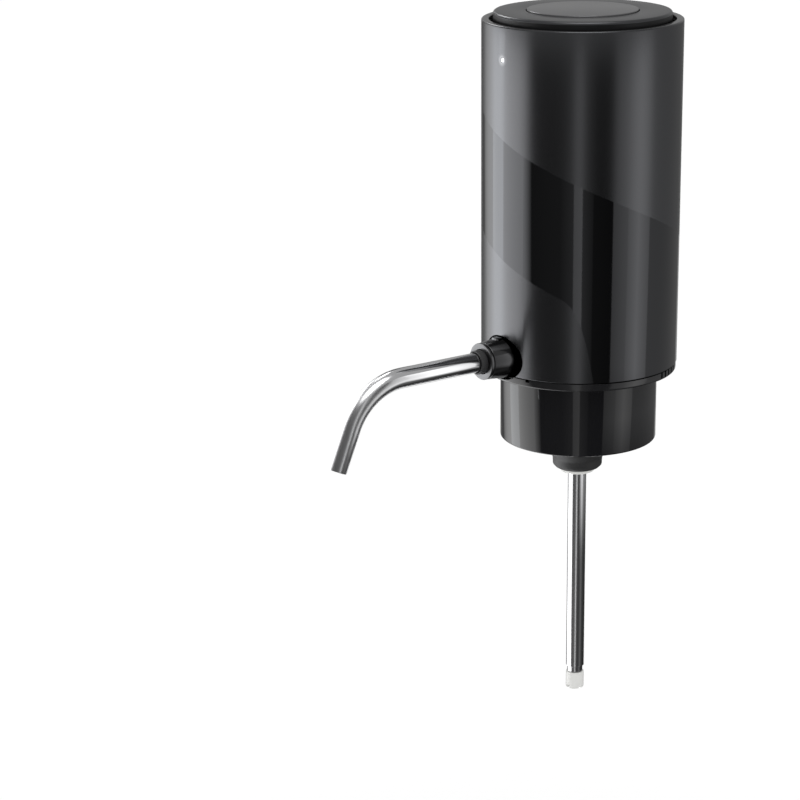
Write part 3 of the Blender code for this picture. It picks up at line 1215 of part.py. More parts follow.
def make_pump_head():
    place = (-PUMP_PLACE, 0, 0)
    cavity = PUMP_HEAD_CAVITY
    floor = HEAD_LOW + PUMP_HEAD_WALL + SCREW_HEAD_HEIGHT
    outline = [(0, floor), (cavity, floor), (cavity, HEAD_HIGH), (PUMP_RADIUS, HEAD_HIGH)]
    outline += [(PUMP_RADIUS, HEAD_LOW), (0, HEAD_LOW)]
    head = lathe("pump_head", outline, BLACK_PLASTIC, place=place, steps=INNER)
    nozzle_low = FRAME_LOW - NIPPLE_LENGTH
    low, high = (NOZZLE_X, 0, nozzle_low), (NOZZLE_X, 0, floor - PUMP_HEAD_WALL / 2)
    join(head, rod("pump_nozzle", NIPPLE_RADIUS, low, high))
    below, above = (NOZZLE_X, 0, nozzle_low - OVERRUN), (NOZZLE_X, 0, floor + OVERRUN)
    cut(head, rod("pump_nozzle_bore", NIPPLE_BORE, below, above))
    drill_pump_screws(head, HEAD_LOW, HEAD_HIGH + OVERRUN)
    for number, angle in enumerate(PUMP_SCREW_ANGLES):
        start = pump_point(PUMP_SCREW_CIRCLE, angle, HEAD_LOW - OVERRUN)
        end = pump_point(PUMP_SCREW_CIRCLE, angle, HEAD_LOW + SCREW_HEAD_HEIGHT + 2 * FIT)
        cut(head, rod(f"pump_sink_{number}", SCREW_HEAD + FIT, start, end, sides=SMALL))
        bearing = pump_point(PUMP_SCREW_CIRCLE, angle, HEAD_LOW + SCREW_HEAD_HEIGHT + FIT)
        screw(f"pump_screw_{number + 1}", bearing, PUMP_SCREW_LENGTH)


def make_valve_plate():
    outline = round_outline(PUMP_RADIUS, VALVE_LOW, VALVE_HIGH)
    plate = lathe("valve_plate", outline, WHITE_PLASTIC, place=(-PUMP_PLACE, 0, 0), steps=INNER)
    drill_pump_screws(plate, VALVE_LOW, VALVE_HIGH + OVERRUN)
    for number, angle in enumerate(CUP_ANGLES):
        for side in (-1, 1):
            radius = CUP_CIRCLE + side * VALVE_HOLE_CIRCLE / 2
            start = pump_point(radius, angle, VALVE_LOW - OVERRUN)
            end = pump_point(radius, angle, VALVE_HIGH + OVERRUN)
            cut(plate, rod(f"valve_hole_{number}_{side + 1}", VALVE_HOLE, start, end))


def make_diaphragm():
    outline = round_outline(PUMP_RADIUS, DIAPHRAGM_LOW, DIAPHRAGM_HIGH)
    diaphragm = lathe("pump_diaphragm", outline, SILICONE, place=(-PUMP_PLACE, 0, 0), steps=INNER)
    drill_pump_screws(diaphragm, DIAPHRAGM_LOW, DIAPHRAGM_HIGH + OVERRUN)
    cup_high = DIAPHRAGM_HIGH + CUP_HEIGHT
    for number, angle in enumerate(CUP_ANGLES):
        root = pump_point(CUP_CIRCLE, angle, DIAPHRAGM_HIGH - DIAPHRAGM_THICKNESS / 2)
        top = pump_point(CUP_CIRCLE, angle, cup_high)
        tip = pump_point(CUP_CIRCLE, angle, STEM_TIP)
        neck = pump_point(CUP_CIRCLE, angle, cup_high - CUP_WALL)
        inner = CUP_RADIUS - CUP_WALL
        join(diaphragm, rod(f"cup_{number}", CUP_RADIUS, root, top, sides=SMALL, end_radius=inner))
        join(diaphragm, rod(f"cup_stem_{number}", CUP_STEM_RADIUS, neck, tip))
        bottom = pump_point(CUP_CIRCLE, angle, DIAPHRAGM_LOW - OVERRUN)
        hollow = rod(f"cup_hollow_{number}", inner, bottom, neck, end_radius=inner - CUP_WALL)
        cut(diaphragm, hollow)


def make_wobble_plate():
    place = (-PUMP_PLACE, 0, 0)
    top = WOBBLE_LOW + WOBBLE_HUB_HEIGHT
    outline = round_outline(WOBBLE_HUB_RADIUS, WOBBLE_LOW, top)
    plate = lathe("wobble_plate", outline, WHITE_PLASTIC, place=place, steps=SMALL)
    half = WOBBLE_ARM_WIDTH / 2
    for number, angle in enumerate(CUP_ANGLES):
        arm = block(
            f"wobble_arm_{number}",
            (-half, -CUP_CIRCLE, WOBBLE_LOW),
            (half, 0, WOBBLE_LOW + WOBBLE_THICKNESS),
            place=place,
            turn=(0, 0, angle),
        )
        join(plate, arm)
        low = pump_point(CUP_CIRCLE, angle, WOBBLE_LOW)
        high = pump_point(CUP_CIRCLE, angle, WOBBLE_LOW + WOBBLE_THICKNESS)
        join(plate, rod(f"wobble_pad_{number}", WOBBLE_PAD_RADIUS, low, high))
    for number, angle in enumerate(CUP_ANGLES):
        low = pump_point(CUP_CIRCLE, angle, WOBBLE_LOW - OVERRUN)
        high = pump_point(CUP_CIRCLE, angle, WOBBLE_LOW + WOBBLE_THICKNESS + OVERRUN)
        cut(plate, rod(f"wobble_stem_hole_{number}", CUP_STEM_RADIUS + SLIDE_FIT, low, high))
    sweep = CRANK_PIN_OFFSET + CRANK_PIN_RADIUS + FIT
    bottom = (-PUMP_PLACE, 0, CRANK_LOW - CRANK_PIN_LENGTH - FIT)
    cut(plate, rod("wobble_pin_well", sweep, bottom, (-PUMP_PLACE, 0, top + OVERRUN), sides=SMALL))


def make_pump_bracket():
    inner = PUMP_RADIUS - BRACKET_WALL
    ceiling = BRACKET_HIGH - BRACKET_TOP
    shaft_hole = SHAFT_RADIUS + FIT
    outline = [
        (shaft_hole, BRACKET_HIGH),
        (PUMP_RADIUS, BRACKET_HIGH),
        (PUMP_RADIUS, BRACKET_LOW),
        (inner, BRACKET_LOW),
        (inner, ceiling),
        (shaft_hole, ceiling),
    ]
    bracket = lathe("pump_bracket", outline, BLACK_PLASTIC, place=(-PUMP_PLACE, 0, 0), steps=INNER)
    boss_high = BRACKET_LOW + PUMP_SCREW_LENGTH
    for number, angle in enumerate(PUMP_SCREW_ANGLES):
        low = pump_point(PUMP_SCREW_CIRCLE, angle, BRACKET_LOW)
        high = pump_point(PUMP_SCREW_CIRCLE, angle, ceiling)
        join(bracket, rod(f"bracket_boss_{number}", SHANK_HOLE + BRACKET_WALL / 2, low, high))
    drill_pump_screws(bracket, BRACKET_LOW, min(boss_high, ceiling))
    half = BRACKET_WINDOW_WIDTH / 2
    for number, angle in enumerate(CUP_ANGLES):
        window = block(
            f"bracket_window_{number}",
            (-half, -PUMP_RADIUS - OVERRUN, BRACKET_LOW + BRACKET_WINDOW_SILL),
            (half, -PUMP_RADIUS / 2, ceiling - BRACKET_TOP),
            place=(-PUMP_PLACE, 0, 0),
            turn=(0, 0, angle),
        )
        cut(bracket, window)


def make_crank_wheel():
    outline = round_outline(CRANK_RADIUS, CRANK_LOW, CRANK_HIGH)
    crank = lathe("crank_wheel", outline, BRASS, parent=motor_axis, steps=SMALL)
    root = (CRANK_PIN_OFFSET, 0, CRANK_LOW + CRANK_PIN_RADIUS)
    tip = (CRANK_PIN_OFFSET / 2, 0, CRANK_LOW - CRANK_PIN_LENGTH)
    join(crank, rod("crank_pin", CRANK_PIN_RADIUS, root, tip, parent=motor_axis))
    floor = (0, 0, CRANK_LOW + 2 * CRANK_PIN_RADIUS)
    above = (0, 0, CRANK_HIGH + OVERRUN)
    cut(crank, rod("crank_bore", SHAFT_RADIUS + FIT, floor, above, parent=motor_axis))


def make_motor():
    place = (-PUMP_PLACE, 0, 0)
    inner = MOTOR_RADIUS - MOTOR_WALL
    floor = MOTOR_LOW + MOTOR_WALL
    shaft_hole = SHAFT_RADIUS + FIT
    outline = [
        (inner, MOTOR_HIGH),
        (MOTOR_RADIUS, MOTOR_HIGH),
        (MOTOR_RADIUS, MOTOR_LOW),
        (shaft_hole, MOTOR_LOW),
        (shaft_hole, floor),
        (inner, floor),
    ]
    lathe("motor_can", outline, ZINC_STEEL, place=place, steps=INNER)
    plug = inner - FIT
    cap_high = MOTOR_HIGH + END_CAP_THICKNESS
    cap_low = MOTOR_HIGH + FIT
    outline = [
        (shaft_hole, cap_high),
        (MOTOR_RADIUS, cap_high),
        (MOTOR_RADIUS, cap_low),
        (plug, cap_low),
        (plug, MOTOR_HIGH - END_CAP_PLUG),
        (shaft_hole, MOTOR_HIGH - END_CAP_PLUG),
    ]
    cap = lathe("motor_end_cap", outline, WHITE_PLASTIC, place=place, steps=INNER)
    for side in (-1, 1):
        middle = side * END_CAP_TAB_OFFSET
        tab = block(
            f"end_cap_tab_{side + 1}",
            (-END_CAP_TAB_WIDTH / 2, middle - END_CAP_TAB_THICKNESS / 2, cap_high - END_CAP_PLUG),
            (END_CAP_TAB_WIDTH / 2, middle + END_CAP_TAB_THICKNESS / 2, cap_high + END_CAP_TAB_HEIGHT),
            place=place,
        )
        join(cap, tab)


def make_magnets():
    outer = MOTOR_RADIUS - MOTOR_WALL - FIT
    ring = ring_outline(outer - MAGNET_THICKNESS, outer, MAGNET_LOW, MAGNET_HIGH)
    for number, side in enumerate((-1, 1)):
        name = f"motor_magnet_{number + 1}"
        magnet = lathe(name, ring, FERRITE, place=(-PUMP_PLACE, 0, 0), steps=INNER)
        near, far = sorted((side * MAGNET_GAP_WIDTH / 2, -side * (outer + OVERRUN)))
        clear = outer + OVERRUN
        half_off = block(
            name + "_off",
            (near, -clear, MAGNET_LOW - OVERRUN),
            (far, clear, MAGNET_HIGH + OVERRUN),
            place=(-PUMP_PLACE, 0, 0),
            turn=(0, 0, math.pi / 2),
        )
        cut(magnet, half_off)


def make_rotor():
    low, high = MAGNET_LOW, MAGNET_HIGH
    brush_room = MOTOR_HIGH - END_CAP_PLUG - high
    commutator_low, commutator_high = (high + share * brush_room for share in COMMUTATOR_SHARES)
    outline = [
        (0, MOTOR_HIGH + END_CAP_THICKNESS),
        (SHAFT_RADIUS, MOTOR_HIGH + END_CAP_THICKNESS),
        (SHAFT_RADIUS, commutator_high),
        (COMMUTATOR_RADIUS, commutator_high),
        (COMMUTATOR_RADIUS, commutator_low),
        (SHAFT_RADIUS, commutator_low),
        (SHAFT_RADIUS, high),
        (ARMATURE_RADIUS, high),
        (ARMATURE_RADIUS, low + SHAFT_RADIUS),
        (SHAFT_RADIUS, low + SHAFT_RADIUS),
        (SHAFT_RADIUS, CRANK_LOW + 2 * CRANK_PIN_RADIUS + FIT),
        (0, CRANK_LOW + 2 * CRANK_PIN_RADIUS + FIT),
    ]
    rotor = lathe("motor_rotor", outline, IRON, parent=motor_axis, steps=INNER)
    half = ARMATURE_SLOT_WIDTH / 2
    for number, angle in enumerate(circle_angles(ARMATURE_POLES)):
        slot = block(
            f"armature_slot_{number}",
            (-half, -ARMATURE_RADIUS - OVERRUN, low),
            (half, -ARMATURE_RADIUS + ARMATURE_SLOT_DEPTH, high + SHAFT_RADIUS / 2),
            parent=motor_axis,
            turn=(0, 0, angle),
        )
        cut(rotor, slot)


def shade_pieces():
    """Gives turned pieces even shading on their flat faces and round ones."""
    for piece in aerator.objects:
        if piece.type != "MESH":
            continue
        piece.data.shade_smooth()
        shading = piece.modifiers.new("shading", "WEIGHTED_NORMAL")
        shading.keep_sharp = True


make_outer_shell()
make_base_cover()
make_collar()
make_stopper()
make_stopper_core()
make_straw()
make_manifold()
make_wine_hose()
make_air_hose()
make_spout_socket()
make_spout_connector()
make_spout_tube()
make_button()
make_switch()
make_button_spring()
make_top_deck()
make_main_board()
make_led()
make_charge_parts()
make_inner_frame()
make_base_screws()
make_battery_cell()
make_pump_head()
make_valve_plate()
make_diaphragm()
make_wobble_plate()
make_pump_bracket()
make_crank_wheel()
make_motor()
make_magnets()
make_rotor()
shade_pieces()
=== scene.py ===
"""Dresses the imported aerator: a fine mesh for each piece that shows, and a finish for every piece.

It also sets up the studio light and the camera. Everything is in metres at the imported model's own place.
Z is up and the spout points along -Y. An azimuth is counted from -Y towards +X.
A reach is a distance along the spout's middle line, from the body's axis.
"""
import math

import bmesh
import bpy
from mathutils import Matrix, Vector


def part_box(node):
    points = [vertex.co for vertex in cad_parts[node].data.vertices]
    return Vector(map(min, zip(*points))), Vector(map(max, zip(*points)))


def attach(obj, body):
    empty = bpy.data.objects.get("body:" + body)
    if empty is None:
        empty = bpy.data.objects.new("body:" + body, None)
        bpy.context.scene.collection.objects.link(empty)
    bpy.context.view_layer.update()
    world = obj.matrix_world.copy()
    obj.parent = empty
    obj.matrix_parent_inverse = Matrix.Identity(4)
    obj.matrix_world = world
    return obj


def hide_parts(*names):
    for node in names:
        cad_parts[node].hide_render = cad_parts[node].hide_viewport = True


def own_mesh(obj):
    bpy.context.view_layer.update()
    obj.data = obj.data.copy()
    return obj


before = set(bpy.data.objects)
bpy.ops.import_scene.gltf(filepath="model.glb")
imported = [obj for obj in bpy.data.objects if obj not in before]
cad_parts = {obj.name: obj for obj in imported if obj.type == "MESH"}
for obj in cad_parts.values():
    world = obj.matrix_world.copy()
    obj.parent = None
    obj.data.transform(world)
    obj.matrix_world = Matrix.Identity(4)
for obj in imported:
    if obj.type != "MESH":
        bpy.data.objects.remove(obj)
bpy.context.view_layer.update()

MM = 0.001
FIT = 0.3 * MM
OVERRUN = 1.0 * MM
MERGE = 0.001 * MM
NEAR = 0.01 * MM
SHARP_ANGLE = math.radians(35)

# How finely a round piece is turned
BODY_STEPS = 256
PIECE_STEPS = 128
STRAW_STEPS = 96
SMALL_STEPS = 48
SCREW_STEPS = 24
ROUND_SEGMENTS = 4

# Rounds on edges, from the finest to the broadest
HAIR_ROUND = 0.1 * MM
FINE_ROUND = 0.15 * MM
SMALL_ROUND = 0.2 * MM
EASED_ROUND = 0.25 * MM
SOFT_ROUND = 0.3 * MM
WIDE_ROUND = 0.4 * MM
FULL_ROUND = 0.5 * MM
BROAD_ROUND = 0.6 * MM

# Heights of the body, from the stopper's flange upwards
FLANGE_HIGH = 1.6 * MM
WEB_LOW = 1.9 * MM
WEB_HIGH = 3.9 * MM
BASE_LOW = 4.2 * MM
FLOOR_HIGH = 5.8 * MM
RING_HIGH = 6.6 * MM
SHELL_LOW = 6.9 * MM
PLUG_HIGH = 11.6 * MM
SPOUT_Z = 12.0 * MM
PORT_Z = 15.1 * MM
LED_Z = 105.9 * MM
LIP_LOW = 114.4 * MM
RIM_HIGH = 116.2 * MM
COLLAR_LOW = -19.0 * MM

# Radii of the body
BODY_RADIUS = 31.45 * MM
SHELL_INNER = 29.85 * MM
RIM_INNER = 29.1 * MM
RING_RADIUS = 31.2 * MM
PLUG_RADIUS = 29.55 * MM
PLUG_INNER = 28.15 * MM
COLLAR_RADIUS = 25.2 * MM
COLLAR_INNER = 23.4 * MM

# The mouth in the body's wall, round the connector, and the back of the barrel behind it
MOUTH_HALF_WIDTH = 9.2 * MM
MOUTH_HALF_HEIGHT = 7.1 * MM
MOUTH_BACK = SHELL_INNER - 1.6 * MM
SOCKET_BACK = 19.0 * MM

# Spout tube
TUBE_RADIUS = 3.2 * MM
TUBE_INNER = 2.7 * MM
TUBE_END = 25.5 * MM
TUBE_BEND_START = 69.8 * MM
TUBE_BEND_RADIUS = 21.0 * MM
TUBE_BEND_ANGLE = math.radians(67)
TUBE_BEND_STEPS = 36
TUBE_TAIL = 13.6 * MM
TUBE_ROUND = 0.12 * MM

# Stopper's stem, and the top of the straw in it
CORE_HOLE = 5.9 * MM
CORE_RADIUS = 5.6 * MM
STRAW_TOP = -4.0 * MM


# Mesh helpers


def turned(corners, steps=PIECE_STEPS, rounds=None, closed=True):
    """Turns (radius, height) corners about Z. rounds gives the round of a corner, by the corner's number."""
    form = bmesh.new()
    points = [form.verts.new((radius, 0, height)) for radius, height in corners]
    ends = points[1:] + points[:1] if closed else points[1:]
    edges = [form.edges.new(pair) for pair in zip(points, ends)]
    spin_form(form, points + edges, math.tau, steps, use_merge=True)
    bmesh.ops.remove_doubles(form, verts=form.verts[:], dist=MERGE)
    for number, size in (rounds or {}).items():
        radius, height = corners[number]
        ring = [edge for edge in form.edges if all(on_ring(vert, radius, height) for vert in edge.verts)]
        round_edges(form, ring, size)
    bmesh.ops.recalc_face_normals(form, faces=form.faces[:])
    return form


def spin_form(form, geom, angle, steps, centre=(0, 0, 0), axis=(0, 0, 1), rise=0.0, **options):
    """Spins geom about Z, or about the axis and centre given."""
    place = {"cent": centre, "axis": axis, "dvec": (0, 0, rise)}
    return bmesh.ops.spin(form, geom=geom, angle=angle, steps=steps, **place, **options)


def ring_corners(inner, outer, low, high):
    return [(inner, low), (outer, low), (outer, high), (inner, high)]


def on_ring(vert, radius, height):
    return abs(math.hypot(vert.co.x, vert.co.y) - radius) < NEAR and abs(vert.co.z - height) < NEAR


def round_edges(form, edges, size, segments=ROUND_SEGMENTS):
    shape = {"profile": 0.5, "affect": "EDGES", "clamp_overlap": True, "material": -1}
    bmesh.ops.bevel(form, geom=edges, offset=size, segments=segments, **shape)


def rod(radius, start, end, steps=SMALL_STEPS):
    """A solid round rod from start to end."""
    start, end = Vector(start), Vector(end)
    turn = (end - start).to_track_quat("Z", "Y").to_matrix().to_4x4()
    place = Matrix.Translation((start + end) / 2) @ turn
    form = bmesh.new()
    shape = {"cap_ends": True, "cap_tris": False, "radius1": radius, "radius2": radius}
    bmesh.ops.create_cone(form, segments=steps, depth=(end - start).length, matrix=place, **shape)
    return form


def upright_rod(radius, node, low, high):
    """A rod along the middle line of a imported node."""
    middle = centre_of(node)
    return rod(radius, (middle.x, middle.y, low), (middle.x, middle.y, high))


def centre_of(node):
    low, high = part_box(node)
    return (low + high) / 2


def block(low, high, edge=0.0):
    low, high = Vector(low), Vector(high)
    form = bmesh.new()
    place = Matrix.Translation((low + high) / 2) @ Matrix.Diagonal((*(high - low), 1))
    bmesh.ops.create_cube(form, size=1, matrix=place)
    if edge:
        round_edges(form, form.edges[:], edge, 2)
    return form


def slot_form(half_width, half_height, back, front, height):
    """A bar along Y with a long round section, from back to front."""
    form = rod(half_height, (0, back, height), (0, front, height))
    shift = half_width - half_height
    for side in (-1, 1):
        half = [vert for vert in form.verts if vert.co.x * side > MERGE]
        bmesh.ops.translate(form, verts=half, vec=(side * shift, 0, 0))
    return form


def disc_form(radius, steps, place):
    """A flat disc to be carried along a path."""
    form = bmesh.new()
    bmesh.ops.create_circle(form, cap_ends=True, segments=steps, radius=radius, matrix=place)
    return form


def with_edges(faces):
    """The faces, with their edges and corners."""
    return faces + list({edge for face in faces for edge in face.edges}) + list(corners_of(faces))


def corners_of(faces):
    return {vert for face in faces for vert in face.verts}


def faces_in(items):
    return [item for item in items if isinstance(item, bmesh.types.BMFace)]


def reach_on(form, faces, vec):
    """Pulls faces on by vec, with new walls behind them, and gives them where they now lie."""
    grown = bmesh.ops.extrude_face_region(form, geom=faces)["geom"]
    verts = [item for item in grown if isinstance(item, bmesh.types.BMVert)]
    bmesh.ops.translate(form, verts=verts, vec=vec)
    return faces_in(grown)


def bend_on(form, faces, centre, angle, steps):
    """Carries faces round an axis along X, and gives the last of them."""
    swept = spin_form(form, with_edges(faces), angle, steps, centre, (1, 0, 0), use_duplicate=False)
    return faces_in(swept["geom_last"])


def drop_faces(form, faces):
    """Takes out the faces that a pull past a bend leaves inside the wall."""
    bmesh.ops.delete(form, geom=[face for face in faces if face.is_valid], context="FACES")


def turn_form(form, angle, axis="Z"):
    bmesh.ops.rotate(form, verts=form.verts[:], cent=(0, 0, 0), matrix=Matrix.Rotation(angle, 3, axis))
    return form


def move_form(form, place):
    bmesh.ops.translate(form, verts=form.verts[:], vec=place)
    return form


def point_forward(form):
    """Lays a form that was turned about Z along the spout's middle line. Its height becomes its reach."""
    turn_form(form, math.pi / 2, "X")
    return move_form(form, (0, 0, SPOUT_Z))


def make_object(name, form):
    """An object that holds form, which is used up."""
    mesh = bpy.data.meshes.new(name)
    form.to_mesh(mesh)
    form.free()
    return link_object(name, mesh)


def link_object(name, data):
    thing = bpy.data.objects.new(name, data)
    bpy.context.scene.collection.objects.link(thing)
    return thing


def combine(form, tool, operation="DIFFERENCE"):
    """Cuts tool out of form, or joins it on with UNION. Both forms are used up."""
    target, other = make_object("loose", form), make_object("loose", tool)
    step = target.modifiers.new("combine", "BOOLEAN")
    step.operation = operation
    step.solver = "EXACT"
    step.object = other
    graph = bpy.context.evaluated_depsgraph_get()
    result = bmesh.new()
    result.from_object(target, graph)
    for thing in (target, other):
        mesh = thing.data
        bpy.data.objects.remove(thing)
        bpy.data.meshes.remove(mesh)
    bmesh.ops.remove_doubles(result, verts=result.verts[:], dist=MERGE)
    return result


def cut(form, *tools):
    for tool in tools:
        form = combine(form, tool)
    return form


def join(form, *tools):
    for tool in tools:
        form = combine(form, tool, "UNION")
    return form


def piece(name, form, material, body, slot, *nodes):
    """Makes form a finished piece that rides on body and stands for the nodes."""
    thing = make_object(name, form)
    mesh = thing.data
    mesh.shade_smooth()
    mesh.set_sharp_from_angle(angle=SHARP_ANGLE)
    mesh.materials.append(material)
    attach(thing, body)
    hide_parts(*nodes)
    return thing


# Node helpers


def set_inputs(node, values):
    for label, value in values.items():
        node.inputs[label].default_value = value


def math_node(tree, operation, first, second=None, clamp=False):
    """A maths node's output, from sockets or plain numbers."""
    node = tree.nodes.new("ShaderNodeMath")
    node.operation = operation
    node.use_clamp = clamp
    for socket, value in zip(node.inputs, (first, second)):
        if isinstance(value, bpy.types.NodeSocket):
            tree.links.new(value, socket)
        elif value is not None:
            socket.default_value = value
    return node.outputs[0]


def plus(tree, first, second):
    return math_node(tree, "ADD", first, second)


def minus(tree, first, second):
    return math_node(tree, "SUBTRACT", first, second)


def times(tree, first, second):
    return math_node(tree, "MULTIPLY", first, second)


def weighted_sum(tree, first, share, second, other_share):
    return plus(tree, times(tree, first, share), times(tree, second, other_share))


def inverse(tree, value):
    return minus(tree, 1.0, value)


def scaled_colour(tree, colour, factor):
    shade = tree.nodes.new("ShaderNodeVectorMath")
    shade.operation = "SCALE"
    tree.links.new(colour, shade.inputs[0])
    tree.links.new(factor, shade.inputs["Scale"])
    return shade.outputs[0]


def object_point(tree):
    """The place on the piece, from the tree's one coordinate node."""
    place = tree.nodes.get("Texture Coordinate") or tree.nodes.new("ShaderNodeTexCoord")
    return place.outputs["Object"]


def object_axes(tree):
    """The same place as X, Y and Z."""
    split = tree.nodes.new("ShaderNodeSeparateXYZ")
    tree.links.new(object_point(tree), split.inputs[0])
    return split.outputs


def ramp_node(tree, value, before, after=(0.0, 1.0), smooth=False):
    """Carries the stretch before over to the stretch after, and holds its ends."""
    ramp = tree.nodes.new("ShaderNodeMapRange")
    if smooth:
        ramp.interpolation_type = "SMOOTHSTEP"
    labels = ("From Min", "From Max", "To Min", "To Max")
    set_inputs(ramp, dict(zip(labels, (*before, *after))))
    tree.links.new(value, ramp.inputs["Value"])
    return ramp.outputs["Result"]


def edge_step(tree, value, place, width):
    """0 below place and 1 above it, over a short smooth ramp."""
    return ramp_node(tree, value, (place - width / 2, place + width / 2), smooth=True)


# Finishes


def detail_group():
    """Tone, gloss and grain that vary over a surface, shared by every finish."""
    tree = bpy.data.node_groups.new("surface_detail", "ShaderNodeTree")
    inputs = (
        ("Vector", "Vector", (0, 0, 0)),
        ("Colour", "Color", (0.5, 0.5, 0.5, 1)),
        ("Tone", "Float", 0.1),
        ("Grain Scale", "Float", 1000),
        ("Marks Scale", "Float", 60),
        ("Gloss", "Float", 0.3),
        ("Gloss Spread", "Float", 0.05),
    )
    for label, kind, value in inputs:
        socket = tree.interface.new_socket(label, in_out="INPUT", socket_type=f"NodeSocket{kind}")
        socket.default_value = value
    for label, kind in (("Color", "Color"), ("Roughness", "Float"), ("Height", "Float")):
        tree.interface.new_socket(label, in_out="OUTPUT", socket_type=f"NodeSocket{kind}")
    given, result = tree.nodes.new("NodeGroupInput"), tree.nodes.new("NodeGroupOutput")
    grain, marks = tree.nodes.new("ShaderNodeTexNoise"), tree.nodes.new("ShaderNodeTexNoise")
    grain.inputs["Detail"].default_value = 3
    marks.inputs["Detail"].default_value = 5
    marks.inputs["Distortion"].default_value = 0.6
    link = tree.links.new
    for noise, label in ((grain, "Grain Scale"), (marks, "Marks Scale")):
        link(given.outputs["Vector"], noise.inputs["Vector"])
        link(given.outputs[label], noise.inputs["Scale"])
    spread = minus(tree, marks.outputs["Fac"], 0.5)
    tone = times(tree, spread, given.outputs["Tone"])
    tone = plus(tree, tone, 1.0)
    link(scaled_colour(tree, given.outputs["Colour"], tone), result.inputs["Color"])
    gloss = times(tree, spread, given.outputs["Gloss Spread"])
    link(plus(tree, gloss, given.outputs["Gloss"]), result.inputs["Roughness"])
    link(grain.outputs["Fac"], result.inputs["Height"])
    return tree


PLAIN_GRAIN = (1500, 0.01)
PLAIN_SPECULAR = 0.5


def finish(
    name, colour, gloss, metallic=0.0, grain=PLAIN_GRAIN, marks=40, tone=0.1, spread=0.04,
    stretch=(1, 1, 1), specular=PLAIN_SPECULAR,
):
    """A surface with its own colour, gloss and grain. Gives the material, its detail node and its shader.

    grain is the grain's scale and its height in mm, marks the scale of the broader marks, and tone and
    spread how far they vary the colour and the gloss."""
    material = bpy.data.materials.new(name)
    material.use_nodes = True
    tree = material.node_tree
    shader = tree.nodes["Principled BSDF"]
    mapping = tree.nodes.new("ShaderNodeMapping")
    mapping.inputs["Scale"].default_value = stretch
    detail = tree.nodes.new("ShaderNodeGroup")
    detail.node_tree = SURFACE_DETAIL
    bump = tree.nodes.new("ShaderNodeBump")
    scale, height = grain
    values = {"Colour": (*colour, 1), "Tone": tone, "Gloss": gloss, "Gloss Spread": spread}
    set_inputs(detail, {**values, "Grain Scale": scale, "Marks Scale": marks})
    set_inputs(bump, {"Distance": height * MM})
    link = tree.links.new
    link(object_point(tree), mapping.inputs["Vector"])
    link(mapping.outputs["Vector"], detail.inputs["Vector"])
    link(detail.outputs["Color"], shader.inputs["Base Color"])
    link(detail.outputs["Roughness"], shader.inputs["Roughness"])
    link(detail.outputs["Height"], bump.inputs["Height"])
    link(bump.outputs["Normal"], shader.inputs["Normal"])
    set_inputs(shader, {"Metallic": metallic, "Specular IOR Level": specular})
    return material, detail, shader


def surface(*values, **named):
    """A finish that needs nothing more than its values."""
    return finish(*values, **named)[0]


# The glossy band on the body: its ends by azimuth, its edges below the rim at its left end, and their slope
BAND_START = math.radians(-26.5)
BAND_END = math.radians(150)
BAND_TOP = 28.0 * MM
BAND_BOTTOM = 65.7 * MM
BAND_SLOPE = 0.25 * MM / math.radians(1)
BAND_EDGE = 0.12 * MM
BAND_BEND = math.radians(38)
BAND_DROP = 0.0023 * MM / math.radians(1) ** 3
BAND_GLOSS = 0.06
BAND_SHADE = 0.76
SEAM_WIDTH = 0.3 * MM
SEAM_SHADE = 0.15

# The glow of the light dot, and its halo on the lacquer round it
LED_GLOW = 1.6
HALO_RADIUS = 2.6 * MM
HALO_GLOW = 1.2


def band_masks(tree, axes):
    """1 on the glossy band, and 1 on the seam at its left end."""
    forward = times(tree, axes["Y"], -1.0)
    azimuth = math_node(tree, "ARCTAN2", axes["X"], forward)
    turn = minus(tree, azimuth, BAND_START)
    drop = minus(tree, RIM_HIGH, axes["Z"])
    level = minus(tree, drop, times(tree, turn, BAND_SLOPE))
    below_top = edge_step(tree, level, BAND_TOP, BAND_EDGE)
    past_bend = math_node(tree, "MAXIMUM", minus(tree, azimuth, BAND_BEND), 0.0)
    fall = times(tree, math_node(tree, "POWER", past_bend, 3.0), BAND_DROP)
    low_level = minus(tree, level, fall)
    above_bottom = inverse(tree, edge_step(tree, low_level, BAND_BOTTOM, BAND_EDGE))
    seam = BAND_EDGE / BODY_RADIUS
    past_start = edge_step(tree, azimuth, BAND_START, seam)
    before_end = inverse(tree, edge_step(tree, azimuth, BAND_END, seam))
    between = times(tree, below_top, above_bottom)
    band = times(tree, between, times(tree, past_start, before_end))
    off_seam = edge_step(tree, math_node(tree, "ABSOLUTE", turn), SEAM_WIDTH / 2 / BODY_RADIUS, seam)
    on_seam = times(tree, inverse(tree, off_seam), between)
    return band, on_seam


